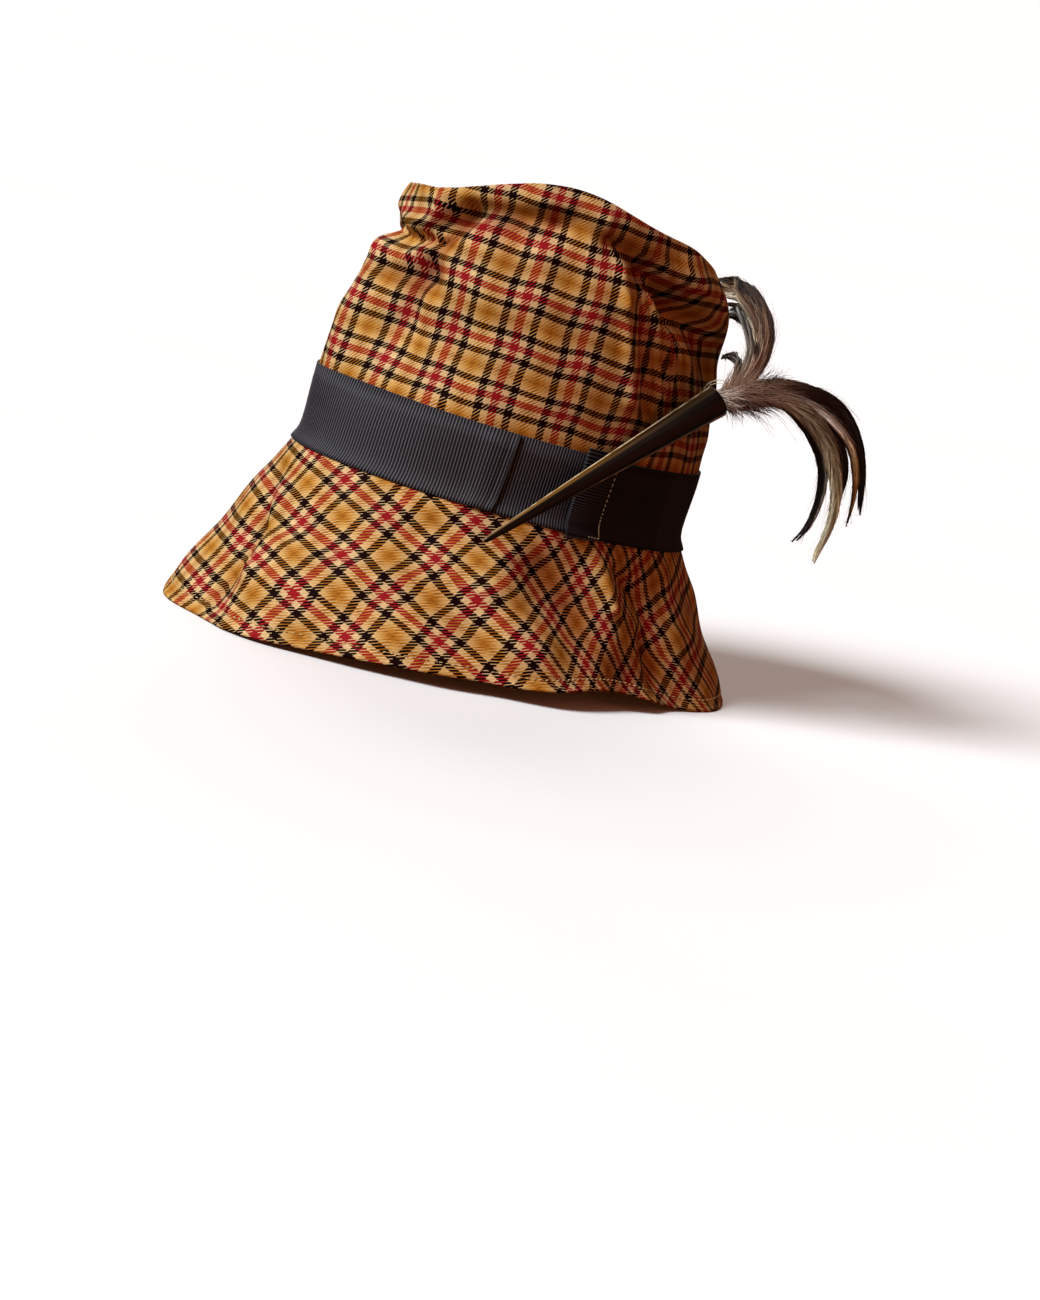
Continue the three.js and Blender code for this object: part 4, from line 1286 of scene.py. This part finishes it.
def mouth_threads():
    """Loose loops of thread over the horn's mouth: each leaves the rim, rises off it and comes back."""
    count = 9
    share = np.linspace(0, 1, 14)
    start = RANDOM.uniform(0.1, 0.9, count)[:, None] * 2 * math.pi
    turn = start + RANDOM.uniform(0.6, 1.8, count)[:, None] * share
    out = RANDOM.uniform(-5, 2, count)[:, None] + RANDOM.uniform(2, 9, count)[:, None] * share
    radius = HORN["mouth_radius"] + 0.2 + RANDOM.uniform(0.2, 1.6, count)[:, None] * np.sin(math.pi * share)
    ring = np.cos(turn)[..., None] * HORN_WIDE + np.sin(turn)[..., None] * HORN_THIN
    lines = HORN_MOUTH + out[..., None] * HORN_AXIS + radius[..., None] * ring
    points, faces = tubes(lines, 0.16, 5)
    return mesh_piece("mouth_threads", points, faces, THREAD_FINISH)


# Stage

def floor():
    """A wide pale floor."""
    half = 80.0
    mesh = bpy.data.meshes.new("floor")
    corners = [(-half, -half, 0), (half, -half, 0), (half, half, 0), (-half, half, 0)]
    mesh.from_pydata(corners, [], [(0, 1, 2, 3)])
    material, tree, shader = new_finish("pale_floor", Roughness=0.9)
    place = add_node(tree, "ShaderNodeTexCoord").outputs["Object"]
    tone = ramp(tree, noise(tree, place, 3.0), [(0.3, paint("#f7f6f5")), (0.7, paint("#f9f8f7"))])
    tree.links.new(tone, shader.inputs["Base Color"])
    mesh.materials.append(material)
    obj = bpy.data.objects.new("floor", mesh)
    bpy.context.scene.collection.objects.link(obj)
    obj.visible_diffuse = False
    obj.visible_glossy = False


def direction(azimuth, elevation):
    """Unit vector from the object towards an azimuth and an elevation in degrees."""
    a, e = math.radians(azimuth), math.radians(elevation)
    return Vector((math.sin(a) * math.cos(e), -math.cos(a) * math.cos(e), math.sin(e)))


def soft_light(name, azimuth, elevation, spread, strength, colour):
    """A soft distant light from an azimuth and an elevation, as wide as its spread in degrees."""
    data = bpy.data.lights.new(name, "SUN")
    data.angle = math.radians(spread)
    data.energy = strength
    data.color = colour
    obj = bpy.data.objects.new(name, data)
    obj.rotation_mode = "QUATERNION"
    obj.rotation_quaternion = direction(azimuth, elevation).to_track_quat("Z", "Y")
    bpy.context.scene.collection.objects.link(obj)


def studio():
    """Soft key from the front, a weak fill, warm light from the left, light from behind, a dim surround."""
    soft_light("key", 7, 39, 26, 4.2, (0.95, 0.99, 1.03))
    soft_light("fill", 50, 20, 80, 0.2, (1.0, 0.34, 0.14))
    soft_light("warm side", 118, 6, 70, 0.52, (1.0, 0.2, 0.09))
    soft_light("back", 248, 34, 40, 1.1, (1.0, 0.95, 0.9))
    world = bpy.data.worlds.new("surround")
    world.use_nodes = True
    background = next(n for n in world.node_tree.nodes if n.type == "BACKGROUND")
    background.inputs[0].default_value = (1.0, 0.62, 0.46, 1.0)
    background.inputs[1].default_value = 0.09
    bpy.context.scene.world = world
    bpy.context.scene.view_settings.view_transform = "Standard"


# Camera: seen from the hat's left front, a little above, tipped as the photo is.
VIEW_AZIMUTH = 62
VIEW_ELEVATION = 10
VIEW_ROLL = math.radians(12.6)
VIEW_DISTANCE = 2.2
IMAGE_HEIGHT = 1300
FOCAL_PIXELS = 4400
SENSOR = 36
AIM_RIGHT = 0.0341
AIM_UP = -0.0042


def photo_camera():
    """Camera at the photo's angle: its axes are the view's right and up turned by the roll."""
    data = bpy.data.cameras.new("camera")
    data.sensor_width = SENSOR
    data.lens = FOCAL_PIXELS * SENSOR / IMAGE_HEIGHT
    back = direction(VIEW_AZIMUTH, VIEW_ELEVATION)
    level = Vector((math.cos(math.radians(VIEW_AZIMUTH)), math.sin(math.radians(VIEW_AZIMUTH)), 0))
    above = back.cross(level)
    right = level * math.cos(VIEW_ROLL) + above * math.sin(VIEW_ROLL)
    up = above * math.cos(VIEW_ROLL) - level * math.sin(VIEW_ROLL)
    place = Vector(ROW_SHIFT) + right * AIM_RIGHT + up * AIM_UP + back * VIEW_DISTANCE
    obj = bpy.data.objects.new("camera", data)
    obj.matrix_world = Matrix((
        (right.x, up.x, back.x, place.x),
        (right.y, up.y, back.y, place.y),
        (right.z, up.z, back.z, place.z),
        (0, 0, 0, 1),
    ))
    bpy.context.scene.collection.objects.link(obj)
    bpy.context.scene.camera = obj


crown_side()
crown_tip()
brim()
ribbons()
tab_stitches()
hem_stitches()
horn_holder()
plume_part("feather_plume", ARCH_HACKLES, ["feather_plume"])
plume_part("feather_spray", SPRAY_HACKLES, [])
plume_down()
mouth_threads()
floor()
studio()
photo_camera()
